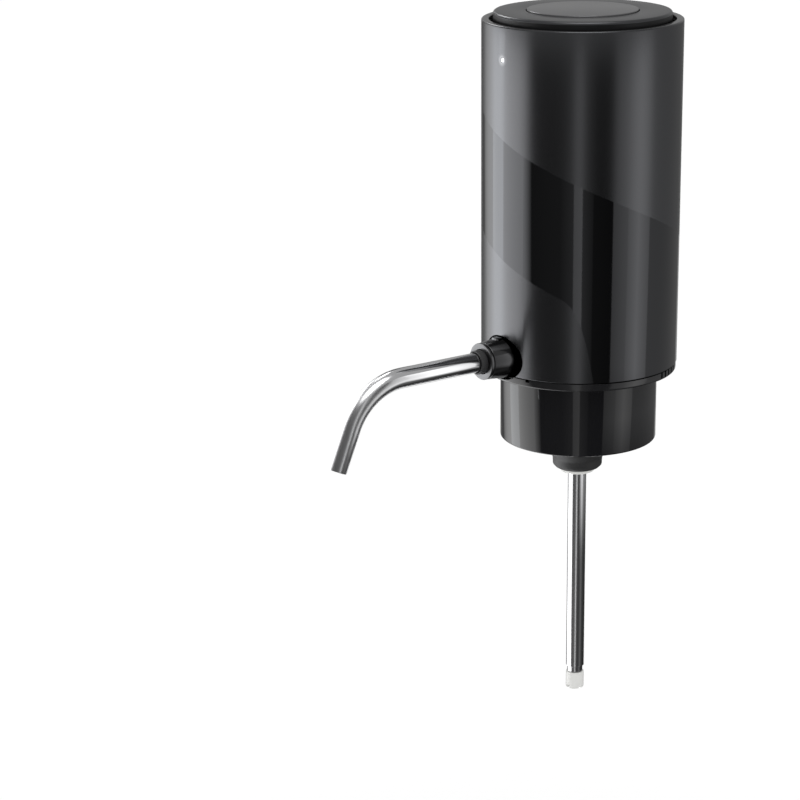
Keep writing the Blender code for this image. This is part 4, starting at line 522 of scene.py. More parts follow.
def gunmetal_body():
    """Satin lacquer with a polished band, and the halo of the light dot."""
    colour = (0.080, 0.081, 0.085)
    material, detail, shader = finish("gunmetal_body", colour, 0.25, 1.0, (3000, 0.002), 30, 0.06, 0.03)
    tree = material.node_tree
    band, on_seam = band_masks(tree, object_axes(tree))
    lacquer = times(tree, detail.outputs["Roughness"], inverse(tree, band))
    polish = times(tree, band, BAND_GLOSS)
    tree.links.new(plus(tree, lacquer, polish), shader.inputs["Roughness"])
    plain = inverse(tree, times(tree, band, 1.0 - BAND_SHADE))
    clear = inverse(tree, times(tree, on_seam, 1.0 - SEAM_SHADE))
    shade = times(tree, plain, clear)
    tree.links.new(scaled_colour(tree, detail.outputs["Color"], shade), shader.inputs["Base Color"])
    away = tree.nodes.new("ShaderNodeVectorMath")
    away.operation = "DISTANCE"
    away.inputs[1].default_value = (0, -BODY_RADIUS, LED_Z)
    tree.links.new(object_point(tree), away.inputs[0])
    halo = math_node(tree, "DIVIDE", away.outputs["Value"], HALO_RADIUS, clamp=True)
    halo = math_node(tree, "POWER", inverse(tree, halo), 3.0)
    tree.links.new(halo, shader.inputs["Emission Color"])
    shader.inputs["Emission Strength"].default_value = HALO_GLOW
    return material


def led_glow():
    material, detail, shader = finish("led_glow", (0.9, 0.93, 1.0), 0.1, 0.0, (800, 0.001))
    material.node_tree.links.new(detail.outputs["Color"], shader.inputs["Emission Color"])
    shader.inputs["Emission Strength"].default_value = LED_GLOW
    return material


# The spout is duller by this much past the start of its bend, over this length
BEND_DULL = 0.22
DULL_LENGTH = 12.0 * MM


def spout_steel():
    """Polished steel that is a little duller where the tube was bent."""
    colour = (0.72, 0.72, 0.73)
    material, detail, shader = finish("spout_steel", colour, 0.06, 1.0, (600, 0.0006), 60, 0.03, 0.02)
    tree = material.node_tree
    past = minus(tree, -TUBE_BEND_START, object_axes(tree)["Y"])
    past = math_node(tree, "DIVIDE", past, DULL_LENGTH, clamp=True)
    dull = times(tree, past, BEND_DULL)
    tree.links.new(plus(tree, detail.outputs["Roughness"], dull), shader.inputs["Roughness"])
    return material


def clear_silicone():
    colour = (0.72, 0.74, 0.76)
    material, _, shader = finish("clear_silicone", colour, 0.30, 0.0, (900, 0.004), 60, 0.06, 0.06)
    shader.inputs["Subsurface Weight"].default_value = 0.3
    shader.inputs["Subsurface Radius"].default_value = (1.0 * MM, 1.0 * MM, 1.0 * MM)
    return material


SURFACE_DETAIL = detail_group()
GUNMETAL = gunmetal_body()
PLATE_SATIN = surface("plate_satin", (0.085, 0.086, 0.09), 0.33, 1.0, (3000, 0.002), 30, 0.06)
DISC_SATIN = surface("disc_satin", (0.19, 0.19, 0.195), 0.30, 1.0, (3000, 0.002), 30, 0.06)
COLLAR_GLOSS = surface(
    "collar_gloss", (0.006, 0.006, 0.007), 0.05, 0.0, (700, 0.001), 25, 0.1, 0.02, specular=0.42
)
BASE_GLOSS = surface("base_gloss", (0.009, 0.009, 0.010), 0.14, 0.0, (1200, 0.002), 25, 0.1, 0.03)
CONNECTOR_GLOSS = surface("connector_gloss", (0.07, 0.07, 0.072), 0.13, 1.0, (1500, 0.001), 50, 0.08, 0.04)
PLATE_SIDE = surface(
    "plate_side", (0.004, 0.004, 0.0045), 0.40, 0.0, (1800, 0.004), 50, 0.1, 0.05, specular=0.25
)
# Black plastic for the barrel behind the mouth, painted darker still as painted shade in the gap round the
# connector
SOCKET_BLACK_AND_SHADE = surface(
    "socket_black_and_shade", (0.004, 0.004, 0.004), 0.65, 0.0, (1800, 0.008), 50, 0.2, 0.08, specular=0.2
)
SPOUT_STEEL = spout_steel()
# Steel of the tube's bore, rougher than the outside and painted dark as painted shade inside the tube
BORE_STEEL_AND_SHADE = surface("bore_steel_and_shade", (0.10, 0.10, 0.105), 0.5, 1.0, (1500, 0.002), 80, 0.1, 0.08)
STRAW_STEEL = surface(
    "straw_steel", (0.66, 0.66, 0.67), 0.16, 1.0, (1500, 0.002), 80, 0.05, 0.06, (1, 1, 0.04)
)
FACE_STEEL = surface("face_steel", (0.085, 0.085, 0.087), 0.28, 1.0, (2500, 0.002), 90, 0.05)
SILICONE = surface("black_silicone", (0.022, 0.022, 0.023), 0.58, 0.0, (2200, 0.006), 70, 0.25, 0.10)
WHITE_PLASTIC = surface("white_plastic", (0.75, 0.75, 0.73), 0.42, 0.0, (1800, 0.008), 50, 0.05, 0.06)
ZINC = surface("zinc_steel", (0.55, 0.56, 0.58), 0.28, 1.0, (2600, 0.004), 200, 0.15, 0.12)
LED_LENS = led_glow()

# The finish of each slot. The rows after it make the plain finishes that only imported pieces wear
SLOT_FINISHES = {
    "satin_gunmetal": GUNMETAL,
    "gloss_black": BASE_GLOSS,
    "satin_grey": PLATE_SATIN,
    "polished_steel": STRAW_STEEL,
    "black_silicone": SILICONE,
    "clear_silicone": clear_silicone(),
    "white_plastic": WHITE_PLASTIC,
    "led_lens": LED_LENS,
    "zinc_steel": ZINC,
}
PACKED_FINISHES = (
    ("black_plastic", (0.028, 0.028, 0.029), 0.48, 0.0, (1800, 0.012), 50, 0.2, 0.08),
    ("green_board", (0.03, 0.16, 0.07), 0.36, 0.0, (1400, 0.010), 160, 0.5, 0.12),
    ("cell_wrap", (0.05, 0.22, 0.45), 0.30, 0.0, (500, 0.02), 90, 0.12, 0.08),
    ("soft_iron", (0.32, 0.31, 0.30), 0.42, 1.0, (900, 0.02), 120, 0.2, 0.12, (1, 1, 4)),
    ("ferrite", (0.06, 0.06, 0.065), 0.72, 0.0, (1600, 0.03), 150, 0.4, 0.12),
    ("brass", (0.70, 0.50, 0.20), 0.28, 1.0, (1500, 0.006), 120, 0.12, 0.1, (1, 1, 6)),
)
SLOT_FINISHES.update({row[0]: surface(*row) for row in PACKED_FINISHES})


def dress_cad_nodes():
    """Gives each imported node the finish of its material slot."""
    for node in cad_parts.values():
        for place in node.material_slots:
            place.material = SLOT_FINISHES[place.material.name.split(".")[0]]


# Body


def mouth_form(back):
    """The oval mouth round the connector."""
    form = rod(MOUTH_HALF_HEIGHT, (0, -BODY_RADIUS - OVERRUN, SPOUT_Z), (0, -back, SPOUT_Z), PIECE_STEPS)
    bmesh.ops.scale(form, verts=form.verts[:], vec=(MOUTH_HALF_WIDTH / MOUTH_HALF_HEIGHT, 1, 1))
    return form


LED_HOLE_RADIUS = 0.9 * MM
PORT_SLOT_HALF_WIDTH = 4.8 * MM
PORT_SLOT_HALF_HEIGHT = 1.9 * MM


def make_shell():
    corners = [
        (BODY_RADIUS, SHELL_LOW), (BODY_RADIUS, RIM_HIGH),
        (RIM_INNER, RIM_HIGH), (RIM_INNER, LIP_LOW),
        (SHELL_INNER, LIP_LOW), (SHELL_INNER, SHELL_LOW),
    ]
    form = turned(corners, BODY_STEPS, {0: SMALL_ROUND, 1: FULL_ROUND, 2: SOFT_ROUND, 3: SMALL_ROUND})
    led_hole = rod(LED_HOLE_RADIUS, (0, -BODY_RADIUS - OVERRUN, LED_Z), (0, -SHELL_INNER + OVERRUN, LED_Z))
    port_slot = slot_form(
        PORT_SLOT_HALF_WIDTH,
        PORT_SLOT_HALF_HEIGHT,
        SHELL_INNER - OVERRUN,
        BODY_RADIUS + OVERRUN,
        PORT_Z,
    )
    form = cut(form, mouth_form(MOUTH_BACK), led_hole, port_slot)
    piece("body_shell", form, GUNMETAL, "housing", "satin_gunmetal", "outer_shell")


# Base: its vents, the bosses of its screws, the posts of the charge board and the way for the spout's barrel
VENT_MIDDLE = math.radians(117)
VENT_PITCH = math.radians(4.4)
VENT_COUNT = 5
VENT_WIDTH = 1.0 * MM
VENT_LOW = 4.8 * MM
BOSS_RADIUS = 3.0 * MM
BOSS_LOW = 5.0 * MM
BOSS_HIGH = 8.0 * MM
SINK_RADIUS = 2.0 * MM
SINK_HIGH = 6.4 * MM
HOLE_RADIUS = 1.2 * MM
HOLE_LOW = 3.2 * MM
HOLE_HIGH = 9.0 * MM
PASS_HIGH = 6.8 * MM
POST_RADIUS = 1.6 * MM
POST_X = 7.0 * MM
POST_Y = 25.0 * MM
POST_LOW = 5.0 * MM
POST_HIGH = 11.7 * MM
TROUGH_RADIUS = MOUTH_HALF_HEIGHT - 0.05 * MM
TROUGH_BACK = 18.7 * MM
NOTCH_HALF_WIDTH = 11.3 * MM


def make_base():
    corners = [
        (CORE_HOLE, BASE_LOW), (RING_RADIUS, BASE_LOW),
        (RING_RADIUS, RING_HIGH), (PLUG_RADIUS, RING_HIGH),
        (PLUG_RADIUS, PLUG_HIGH), (PLUG_INNER, PLUG_HIGH),
        (PLUG_INNER, FLOOR_HIGH), (CORE_HOLE, FLOOR_HIGH),
    ]
    form = turned(corners, BODY_STEPS, {1: BROAD_ROUND, 2: FINE_ROUND, 4: SMALL_ROUND, 5: SMALL_ROUND})
    for number in (1, 2, 3):
        screw = f"base_screw_{number}"
        form = join(form, upright_rod(BOSS_RADIUS, screw, BOSS_LOW, BOSS_HIGH))
        sink = upright_rod(SINK_RADIUS, screw, HOLE_LOW, SINK_HIGH)
        hole = upright_rod(HOLE_RADIUS, screw, HOLE_LOW, HOLE_HIGH)
        screw = f"collar_screw_{number}"
        form = cut(form, sink, hole, upright_rod(HOLE_RADIUS, screw, HOLE_LOW, PASS_HIGH))
    for side in (-1, 1):
        foot, top = (side * POST_X, POST_Y, POST_LOW), (side * POST_X, POST_Y, POST_HIGH)
        form = join(form, rod(POST_RADIUS, foot, top))
    trough_start = (0, -BODY_RADIUS - OVERRUN, SPOUT_Z)
    trough = rod(TROUGH_RADIUS, trough_start, (0, -TROUGH_BACK, SPOUT_Z), PIECE_STEPS)
    notch_high = (NOTCH_HALF_WIDTH, -SOCKET_BACK, PLUG_HIGH + OVERRUN)
    notch = block((-NOTCH_HALF_WIDTH, -PLUG_RADIUS, FLOOR_HIGH), notch_high)
    form = cut(form, mouth_form(PLUG_INNER), trough, notch)
    for side in (-1, 1):
        for step in range(VENT_COUNT):
            low = (-VENT_WIDTH / 2, -BODY_RADIUS - OVERRUN, VENT_LOW)
            high = (VENT_WIDTH / 2, -PLUG_INNER + OVERRUN, RING_HIGH + OVERRUN)
            azimuth = VENT_MIDDLE + VENT_PITCH * (step - VENT_COUNT // 2)
            form = cut(form, turn_form(block(low, high), side * azimuth))
    piece("base_ring", form, BASE_GLOSS, "housing", "gloss_black", "base_cover")


COLLAR_HOLE_LOW = 0.9 * MM
COLLAR_HOLE_HIGH = 4.9 * MM


def make_collar():
    corners = [
        (CORE_HOLE, WEB_LOW), (COLLAR_INNER, WEB_LOW),
        (COLLAR_INNER, COLLAR_LOW), (COLLAR_RADIUS, COLLAR_LOW),
        (COLLAR_RADIUS, WEB_HIGH), (CORE_HOLE, WEB_HIGH),
    ]
    form = turned(corners, BODY_STEPS, {1: BROAD_ROUND, 2: WIDE_ROUND, 3: FULL_ROUND, 4: SMALL_ROUND})
    for number in (1, 2, 3):
        screw = f"collar_screw_{number}"
        form = cut(form, upright_rod(HOLE_RADIUS, screw, COLLAR_HOLE_LOW, COLLAR_HOLE_HIGH))
    piece("neck_collar", form, COLLAR_GLOSS, "housing", "gloss_black", "collar")


# Press plate, with its skirt, its pin over the switch, its three hooked legs and the disc in its recess
PLATE_RADIUS = 27.85 * MM
PLATE_HIGH = 118.6 * MM
PLATE_LOW = 116.8 * MM
PLATE_ROUND = 0.9 * MM
SKIRT_INNER = 26.25 * MM
SKIRT_LOW = 112.3 * MM
PIN_RADIUS = 2.0 * MM
PIN_LOW = 108.3 * MM
RECESS_RADIUS = 17.65 * MM
RECESS_FLOOR = 117.7 * MM
SIDE_FROM = 20.0 * MM
LEG_COUNT = 3
LEG_HALF_WIDTH = 2.0 * MM
LEG_OUTER = 21.9 * MM
LEG_INNER = 20.5 * MM
LEG_LOW = 107.7 * MM
LEG_HIGH = 117.4 * MM
HOOK_HALF_WIDTH = 1.7 * MM
HOOK_OUTER = 22.8 * MM
HOOK_INNER = 21.2 * MM
HOOK_LOW = 107.8 * MM
HOOK_HIGH = 108.9 * MM
DISC_RADIUS = 17.35 * MM
DISC_LOW = 118.0 * MM
DISC_HIGH = 119.0 * MM


def make_press_plate():
    corners = [
        (0, RECESS_FLOOR), (RECESS_RADIUS, RECESS_FLOOR),
        (RECESS_RADIUS, PLATE_HIGH), (PLATE_RADIUS, PLATE_HIGH),
        (PLATE_RADIUS, SKIRT_LOW), (SKIRT_INNER, SKIRT_LOW),
        (SKIRT_INNER, PLATE_LOW), (PIN_RADIUS, PLATE_LOW),
        (PIN_RADIUS, PIN_LOW), (0, PIN_LOW),
    ]
    rounds = {2: FINE_ROUND, 3: PLATE_ROUND, 4: SMALL_ROUND, 8: SOFT_ROUND}
    form = turned(corners, BODY_STEPS, rounds, closed=False)
    for number in range(LEG_COUNT):
        leg = block((-LEG_HALF_WIDTH, -LEG_OUTER, LEG_LOW), (LEG_HALF_WIDTH, -LEG_INNER, LEG_HIGH))
        hook = block((-HOOK_HALF_WIDTH, -HOOK_OUTER, HOOK_LOW), (HOOK_HALF_WIDTH, -HOOK_INNER, HOOK_HIGH))
        for part in (leg, hook):
            form = join(form, turn_form(part, math.tau * number / LEG_COUNT))
    plate = piece("press_plate", form, PLATE_SATIN, "button", "satin_grey", "button_plate")
    plate.data.materials.append(PLATE_SIDE)
    for face in plate.data.polygons:
        reach = math.hypot(face.center.x, face.center.y)
        if face.center.z < PLATE_HIGH - PLATE_ROUND and reach > SIDE_FROM:
            face.material_index = 1
    corners = ring_corners(0, DISC_RADIUS, DISC_LOW, DISC_HIGH)
    form = turned(corners, BODY_STEPS, {2: SMALL_ROUND}, closed=False)
    piece("inlaid_disc", form, DISC_SATIN, "button", "satin_grey", "button_disc")


SPRING_WIRE = 0.4 * MM
SPRING_TURNS = 3.5
SPRING_TURN_STEPS = 28
SPRING_SIDES = 10


def make_spring():
    """The coil under the plate."""
    low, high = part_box("button_spring")
    middle = Vector(((low.x + high.x) / 2, (low.y + high.y) / 2, 0))
    radius = (high.x - low.x) / 2 - SPRING_WIRE
    rise = high.z - low.z - 2 * SPRING_WIRE
    place = Matrix.Translation((radius, 0, 0)) @ Matrix.Rotation(math.pi / 2, 4, "X")
    form = disc_form(SPRING_WIRE, SPRING_SIDES, place)
    steps = round(SPRING_TURNS * SPRING_TURN_STEPS)
    start = form.faces[:] + form.edges[:] + form.verts[:]
    spin_form(form, start, math.tau * SPRING_TURNS, steps, rise=rise / steps, use_duplicate=True)
    bmesh.ops.remove_doubles(form, verts=form.verts[:], dist=MERGE)
    bmesh.ops.recalc_face_normals(form, faces=form.faces[:])
    move_form(form, middle + Vector((0, 0, low.z + SPRING_WIRE)))
    spring = piece("press_spring", form, ZINC, "housing", "zinc_steel", "button_spring")
    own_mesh(spring)


# Light guide: it rises from the board, bends forward and ends in a dome in the body's wall
GUIDE_RADIUS = 0.6 * MM
GUIDE_REACH = 25.0 * MM
GUIDE_LOW = 100.4 * MM
GUIDE_RISE = 3.3 * MM
GUIDE_BEND = 2.2 * MM
GUIDE_BEND_STEPS = 10
GUIDE_FORWARD = 4.05 * MM
DOME_INSET = 0.3 * MM
DOME_HEIGHT = 0.2 * MM


def make_light_pipe():
    """A bent light guide whose domed end shows as the light dot on the front."""
    bend_low, bend_reach = GUIDE_LOW + GUIDE_RISE, GUIDE_REACH + GUIDE_BEND
    form = disc_form(GUIDE_RADIUS, SCREW_STEPS, Matrix.Translation((0, -GUIDE_REACH, GUIDE_LOW)))
    reach_on(form, form.faces[:], (0, 0, GUIDE_RISE))
    end = [face for face in form.faces if all(vert.co.z > bend_low - NEAR for vert in face.verts)]
    last = bend_on(form, end, (0, -bend_reach, bend_low), math.pi / 2, GUIDE_BEND_STEPS)
    reach_on(form, last, (0, -GUIDE_FORWARD, 0))
    drop_faces(form, last)
    front_y = NEAR - bend_reach - GUIDE_FORWARD
    front = [face for face in form.faces if all(vert.co.y < front_y for vert in face.verts)]
    bmesh.ops.inset_individual(form, faces=front, thickness=DOME_INSET)
    bmesh.ops.translate(form, verts=list(corners_of(front)), vec=(0, -DOME_HEIGHT, 0))
    bmesh.ops.recalc_face_normals(form, faces=form.faces[:])
    piece("light_guide", form, LED_LENS, "housing", "led_lens", "led_light_pipe")


# Spout's connector: a plug with its seal groove, and a cone with a lug, a face ring and a sleeve in front
CONNECTOR_BACK = 21.3 * MM
PLUG_END_RADIUS = 5.3 * MM
GROOVE_RADIUS = 4.1 * MM
GROOVE_BACK = 24.1 * MM
GROOVE_FRONT = 25.6 * MM
TUBE_SEAT = 25.2 * MM
CONE_BACK = 27.5 * MM
CONE_FRONT = 38.3 * MM
CONE_BASE_RADIUS = 6.85 * MM
CONE_FACE_RADIUS = 5.85 * MM
LUG_HALF_WIDTH = 1.3 * MM
LUG_LOW = 5.65 * MM
LUG_HIGH = 6.85 * MM
LUG_BACK = 32.0 * MM
LUG_FRONT = 34.4 * MM
FACE_BACK = 38.6 * MM
FACE_FRONT = 39.5 * MM
SLEEVE_HOLE = 3.95 * MM
SLEEVE_INNER = 3.35 * MM
SLEEVE_RADIUS = 3.8 * MM
SLEEVE_SEAT = 35.3 * MM
SLEEVE_BACK = 35.6 * MM
SLEEVE_FRONT = 41.8 * MM


def make_connector():
    corners = [
        (TUBE_INNER, TUBE_SEAT), (SLEEVE_INNER, TUBE_SEAT),
        (SLEEVE_INNER, SLEEVE_SEAT), (SLEEVE_HOLE, SLEEVE_SEAT),
        (SLEEVE_HOLE, CONE_FRONT), (CONE_FACE_RADIUS, CONE_FRONT),
        (CONE_BASE_RADIUS, CONE_BACK), (PLUG_END_RADIUS, CONE_BACK),
        (PLUG_END_RADIUS, GROOVE_FRONT), (GROOVE_RADIUS, GROOVE_FRONT),
        (GROOVE_RADIUS, GROOVE_BACK), (PLUG_END_RADIUS, GROOVE_BACK),
        (PLUG_END_RADIUS, CONNECTOR_BACK), (TUBE_INNER, CONNECTOR_BACK),
    ]
    form = turned(corners, PIECE_STEPS, {5: EASED_ROUND, 6: SOFT_ROUND, 12: SOFT_ROUND})
    lug_high = (LUG_HALF_WIDTH, LUG_HIGH, LUG_FRONT)
    form = join(form, block((-LUG_HALF_WIDTH, LUG_LOW, LUG_BACK), lug_high, SOFT_ROUND))
    piece("swivel_connector", point_forward(form), CONNECTOR_GLOSS, "spout", "gloss_black", "spout_connector")
    corners = ring_corners(SLEEVE_HOLE, CONE_FACE_RADIUS, FACE_BACK, FACE_FRONT)
    form = turned(corners, PIECE_STEPS, {2: SMALL_ROUND, 3: FINE_ROUND})
    piece("connector_face", point_forward(form), FACE_STEEL, "spout", "satin_grey", "spout_face_ring")
    corners = ring_corners(SLEEVE_INNER, SLEEVE_RADIUS, SLEEVE_BACK, SLEEVE_FRONT)
    form = turned(corners, PIECE_STEPS, {2: EASED_ROUND, 3: HAIR_ROUND})
    piece("tube_sleeve", point_forward(form), SILICONE, "spout", "black_silicone", "spout_seal_sleeve")


# The barrel that holds the connector, with a nipple for the hose behind and a flange in the frame
SOCKET_RADIUS = 6.8 * MM
SOCKET_INNER = 5.6 * MM
SOCKET_FLOOR = 21.0 * MM
SOCKET_FRONT = 27.2 * MM
NIPPLE_BORE = 1.1 * MM
NIPPLE_RADIUS = 1.8 * MM
NIPPLE_BACK = 15.65 * MM
MOUNT_HALF_WIDTH = 11.03 * MM
MOUNT_BACK = 25.8 * MM
MOUNT_LOW = 6.1 * MM
MOUNT_HIGH = 19.6 * MM
MOUNT_BORE = 6.2 * MM


def make_socket():
    corners = [
        (NIPPLE_BORE, NIPPLE_BACK), (NIPPLE_RADIUS, NIPPLE_BACK),
        (NIPPLE_RADIUS, SOCKET_BACK), (SOCKET_RADIUS, SOCKET_BACK),
        (SOCKET_RADIUS, SOCKET_FRONT), (SOCKET_INNER, SOCKET_FRONT),
        (SOCKET_INNER, SOCKET_FLOOR), (NIPPLE_BORE, SOCKET_FLOOR),
    ]
    form = point_forward(turned(corners, PIECE_STEPS, {3: SOFT_ROUND, 4: FINE_ROUND, 5: FINE_ROUND}))
    flange = block(
        (-MOUNT_HALF_WIDTH, -SOCKET_FRONT, MOUNT_LOW),
        (MOUNT_HALF_WIDTH, -MOUNT_BACK, MOUNT_HIGH),
    )
    bore_front = (0, -SOCKET_FRONT - OVERRUN, SPOUT_Z)
    bore = rod(MOUNT_BORE, bore_front, (0, -MOUNT_BACK + OVERRUN, SPOUT_Z))
    form = join(form, cut(flange, bore))
    # The barrel wears black plastic with painted shade, so that the gap in the mouth stays dark
    piece("spout_barrel", form, SOCKET_BLACK_AND_SHADE, "housing", "black_plastic", "spout_socket")


def make_tube():
    """A flat ring carried along the middle line, so that each end is a rim round the open bore."""
    place = Matrix.Translation((0, -TUBE_END, SPOUT_Z)) @ Matrix.Rotation(math.pi / 2, 4, "X")
    form = bmesh.new()
    inside = form.verts.layers.int.new("inside")
    bmesh.ops.create_circle(form, cap_ends=True, segments=PIECE_STEPS // 2, radius=TUBE_RADIUS, matrix=place)
    hole = form.faces[:]
    bmesh.ops.inset_individual(form, faces=hole, thickness=TUBE_RADIUS - TUBE_INNER)
    for vert in hole[0].verts:
        vert[inside] = 1
    bmesh.ops.delete(form, geom=hole, context="FACES_ONLY")
    rim = reach_on(form, form.faces[:], (0, TUBE_END - TUBE_BEND_START, 0))
    centre = (0, -TUBE_BEND_START, SPOUT_Z - TUBE_BEND_RADIUS)
    rim = bend_on(form, rim, centre, TUBE_BEND_ANGLE, TUBE_BEND_STEPS)
    along = Vector((0, -math.cos(TUBE_BEND_ANGLE), -math.sin(TUBE_BEND_ANGLE)))
    reach_on(form, rim, along * TUBE_TAIL)
    drop_faces(form, rim)
    bmesh.ops.recalc_face_normals(form, faces=form.faces[:])
    corner = [edge for edge in form.edges if edge.calc_face_angle(0) > SHARP_ANGLE]
    round_edges(form, corner, TUBE_ROUND, 2)
    # The bore's faces take the second material, steel with painted shade for the inside of the tube
    for face in form.faces:
        face.material_index = int(all(vert[inside] for vert in face.verts))
    spout = piece("bent_spout", form, SPOUT_STEEL, "spout", "polished_steel", "spout_tube")
    spout.data.materials.append(BORE_STEEL_AND_SHADE)


# Stopper: a tapered root with a flange on top and raked fins below it
STOPPER_LENGTH = 30.0 * MM
STOPPER_LOW = -STOPPER_LENGTH
STOPPER_ROOT = 8.8 * MM
STOPPER_TIP = 8.0 * MM
STOPPER_CHAMFER = 1.0 * MM
STOPPER_FLANGE_RADIUS = 14.5 * MM
FIN_COUNT = 4
FIN_FIRST = 3.5 * MM
FIN_HEIGHT = 1.2 * MM
FIN_LAND = 0.9 * MM
FIN_LEAD = 2.4 * MM


def stopper_radius(depth):
    """The root's radius at a depth below the flange."""
    return STOPPER_ROOT + (STOPPER_TIP - STOPPER_ROOT) * depth / STOPPER_LENGTH


def make_stopper():
    pitch = (STOPPER_LENGTH - FIN_FIRST) / FIN_COUNT
    corners = [
        (CORE_HOLE, FLANGE_HIGH), (STOPPER_FLANGE_RADIUS, FLANGE_HIGH),
        (STOPPER_FLANGE_RADIUS, 0), (stopper_radius(0), 0),
    ]
    # The rounds of every corner but the first and the last
    sizes = [SOFT_ROUND, SOFT_ROUND, FULL_ROUND]
    for fin in range(FIN_COUNT):
        depth = FIN_FIRST + fin * pitch
        reach = stopper_radius(depth) + FIN_HEIGHT
        end = depth + FIN_LAND + FIN_LEAD
        sizes += [SMALL_ROUND] * 3 + [WIDE_ROUND]
        corners += [
            (stopper_radius(depth), -depth),
            (reach, -depth - FIN_LAND / 2),
            (reach, -depth - FIN_LAND),
            (stopper_radius(end), -end),
        ]
    corners += [
        (STOPPER_TIP, STOPPER_LOW + STOPPER_CHAMFER),
        (STOPPER_TIP - STOPPER_CHAMFER, STOPPER_LOW),
        (CORE_HOLE, STOPPER_LOW),
    ]
    sizes += [SOFT_ROUND] * 2
    form = turned(corners, PIECE_STEPS, dict(enumerate(sizes, 1)))
    piece("ribbed_stopper", form, SILICONE, "housing", "black_silicone", "bottle_stopper")


# Stem through the stopper, with a groove for its seal, a wide bore for the straw and two fine ones
CORE_HIGH = 8.8 * MM
CORE_LOW = -31.5 * MM
CORE_ROUND = 0.8 * MM
CORE_GROOVE_LOW = 6.9 * MM
CORE_GROOVE_HIGH = 8.3 * MM
CORE_GROOVE_RADIUS = CORE_RADIUS - 0.9 * MM
STRAW_BORE = 3.1 * MM
RISER_BORE = 1.5 * MM
AIR_BORE = 0.7 * MM
AIR_X = -4.6 * MM


def make_core():
    corners = [
        (0, CORE_HIGH), (CORE_RADIUS, CORE_HIGH),
        (CORE_RADIUS, CORE_GROOVE_HIGH), (CORE_GROOVE_RADIUS, CORE_GROOVE_HIGH),
        (CORE_GROOVE_RADIUS, CORE_GROOVE_LOW), (CORE_RADIUS, CORE_GROOVE_LOW),
        (CORE_RADIUS, CORE_LOW), (0, CORE_LOW),
    ]
    form = turned(corners, PIECE_STEPS, {1: HAIR_ROUND, 6: CORE_ROUND}, closed=False)
    below, above = CORE_LOW - OVERRUN, CORE_HIGH + OVERRUN
    form = cut(
        form,
        rod(STRAW_BORE, (0, 0, below), (0, 0, STRAW_TOP + FIT)),
        rod(RISER_BORE, (0, 0, below), (0, 0, above)),
        rod(AIR_BORE, (AIR_X, 0, below), (AIR_X, 0, above), SCREW_STEPS),
    )
    piece("stopper_stem", form, WHITE_PLASTIC, "housing", "white_plastic", "stopper_core")


# Straw: radius, wall and bottom of the outermost stage, and the change from stage to stage
STRAW_RADIUS = 3.0 * MM
STRAW_WALL = 0.35 * MM
STRAW_BOTTOM = -100.0 * MM
STRAW_NEST = 0.45 * MM
STRAW_STEP = 2.0 * MM
# Its foot, a cap with a seat for the lowest stage and two crossed notches
FOOT_HIGH = -102.3 * MM
FOOT_SEAT = -104.3 * MM
FOOT_LOW = -108.0 * MM
FOOT_HOLE = 2.2 * MM
FOOT_INNER = 1.75 * MM
FOOT_RADIUS = 3.0 * MM
NOTCH_REACH = 4.0 * MM
NOTCH_HALF = 0.6 * MM
NOTCH_DEPTH = 1.2 * MM


def make_straw():
    stages = (("upper", "housing"), ("middle", "straw_middle"), ("lower", "straw_lower"))
    for stage, (name, body) in enumerate(stages):
        outer = STRAW_RADIUS - stage * STRAW_NEST
        inner = outer - STRAW_WALL
        top, bottom = STRAW_TOP - stage * STRAW_STEP, STRAW_BOTTOM - stage * STRAW_STEP
        corners = ring_corners(inner, outer, bottom, top)
        form = turned(corners, STRAW_STEPS, {number: HAIR_ROUND for number in range(4)})
        piece(f"straw_{name}_stage", form, STRAW_STEEL, body, "polished_steel", f"straw_{name}_tube")
    corners = [
        (FOOT_HOLE, FOOT_HIGH), (FOOT_RADIUS, FOOT_HIGH),
        (FOOT_RADIUS, FOOT_LOW), (FOOT_INNER, FOOT_LOW),
        (FOOT_INNER, FOOT_SEAT), (FOOT_HOLE, FOOT_SEAT),
    ]
    form = turned(corners, STRAW_STEPS, {1: EASED_ROUND, 2: BROAD_ROUND})
    for number in range(2):
        notch_high = (NOTCH_REACH, NOTCH_HALF, FOOT_LOW + NOTCH_DEPTH)
        notch = block((-NOTCH_REACH, -NOTCH_HALF, FOOT_LOW - OVERRUN), notch_high)
        form = cut(form, turn_form(notch, number * math.pi / 2))
    piece("straw_foot", form, WHITE_PLASTIC, "straw_lower", "white_plastic", "straw_tip")


# Charging port: a thin oval can with a tongue
PORT_BACK = 21.9 * MM
PORT_FRONT = 29.2 * MM
PORT_HALF_WIDTH = 4.5 * MM
PORT_HALF_HEIGHT = 1.6 * MM
PORT_WALL = 0.3 * MM
PORT_FLOOR = 1.4 * MM
TONGUE_HALF_WIDTH = 3.3 * MM
TONGUE_HALF_THICKNESS = 0.35 * MM
TONGUE_START = 0.7 * MM
TONGUE_FRONT = 28.2 * MM


def make_port():
    form = slot_form(PORT_HALF_WIDTH, PORT_HALF_HEIGHT, PORT_BACK, PORT_FRONT, PORT_Z)
    hollow = slot_form(
        PORT_HALF_WIDTH - PORT_WALL,
        PORT_HALF_HEIGHT - PORT_WALL,
        PORT_BACK + PORT_FLOOR,
        PORT_FRONT + OVERRUN,
        PORT_Z,
    )
    tongue = block(
        (-TONGUE_HALF_WIDTH, PORT_BACK + TONGUE_START, PORT_Z - TONGUE_HALF_THICKNESS),
        (TONGUE_HALF_WIDTH, TONGUE_FRONT, PORT_Z + TONGUE_HALF_THICKNESS),
    )
    form = join(cut(form, hollow), tongue)
    piece("charge_socket", form, ZINC, "housing", "zinc_steel", "usb_socket")


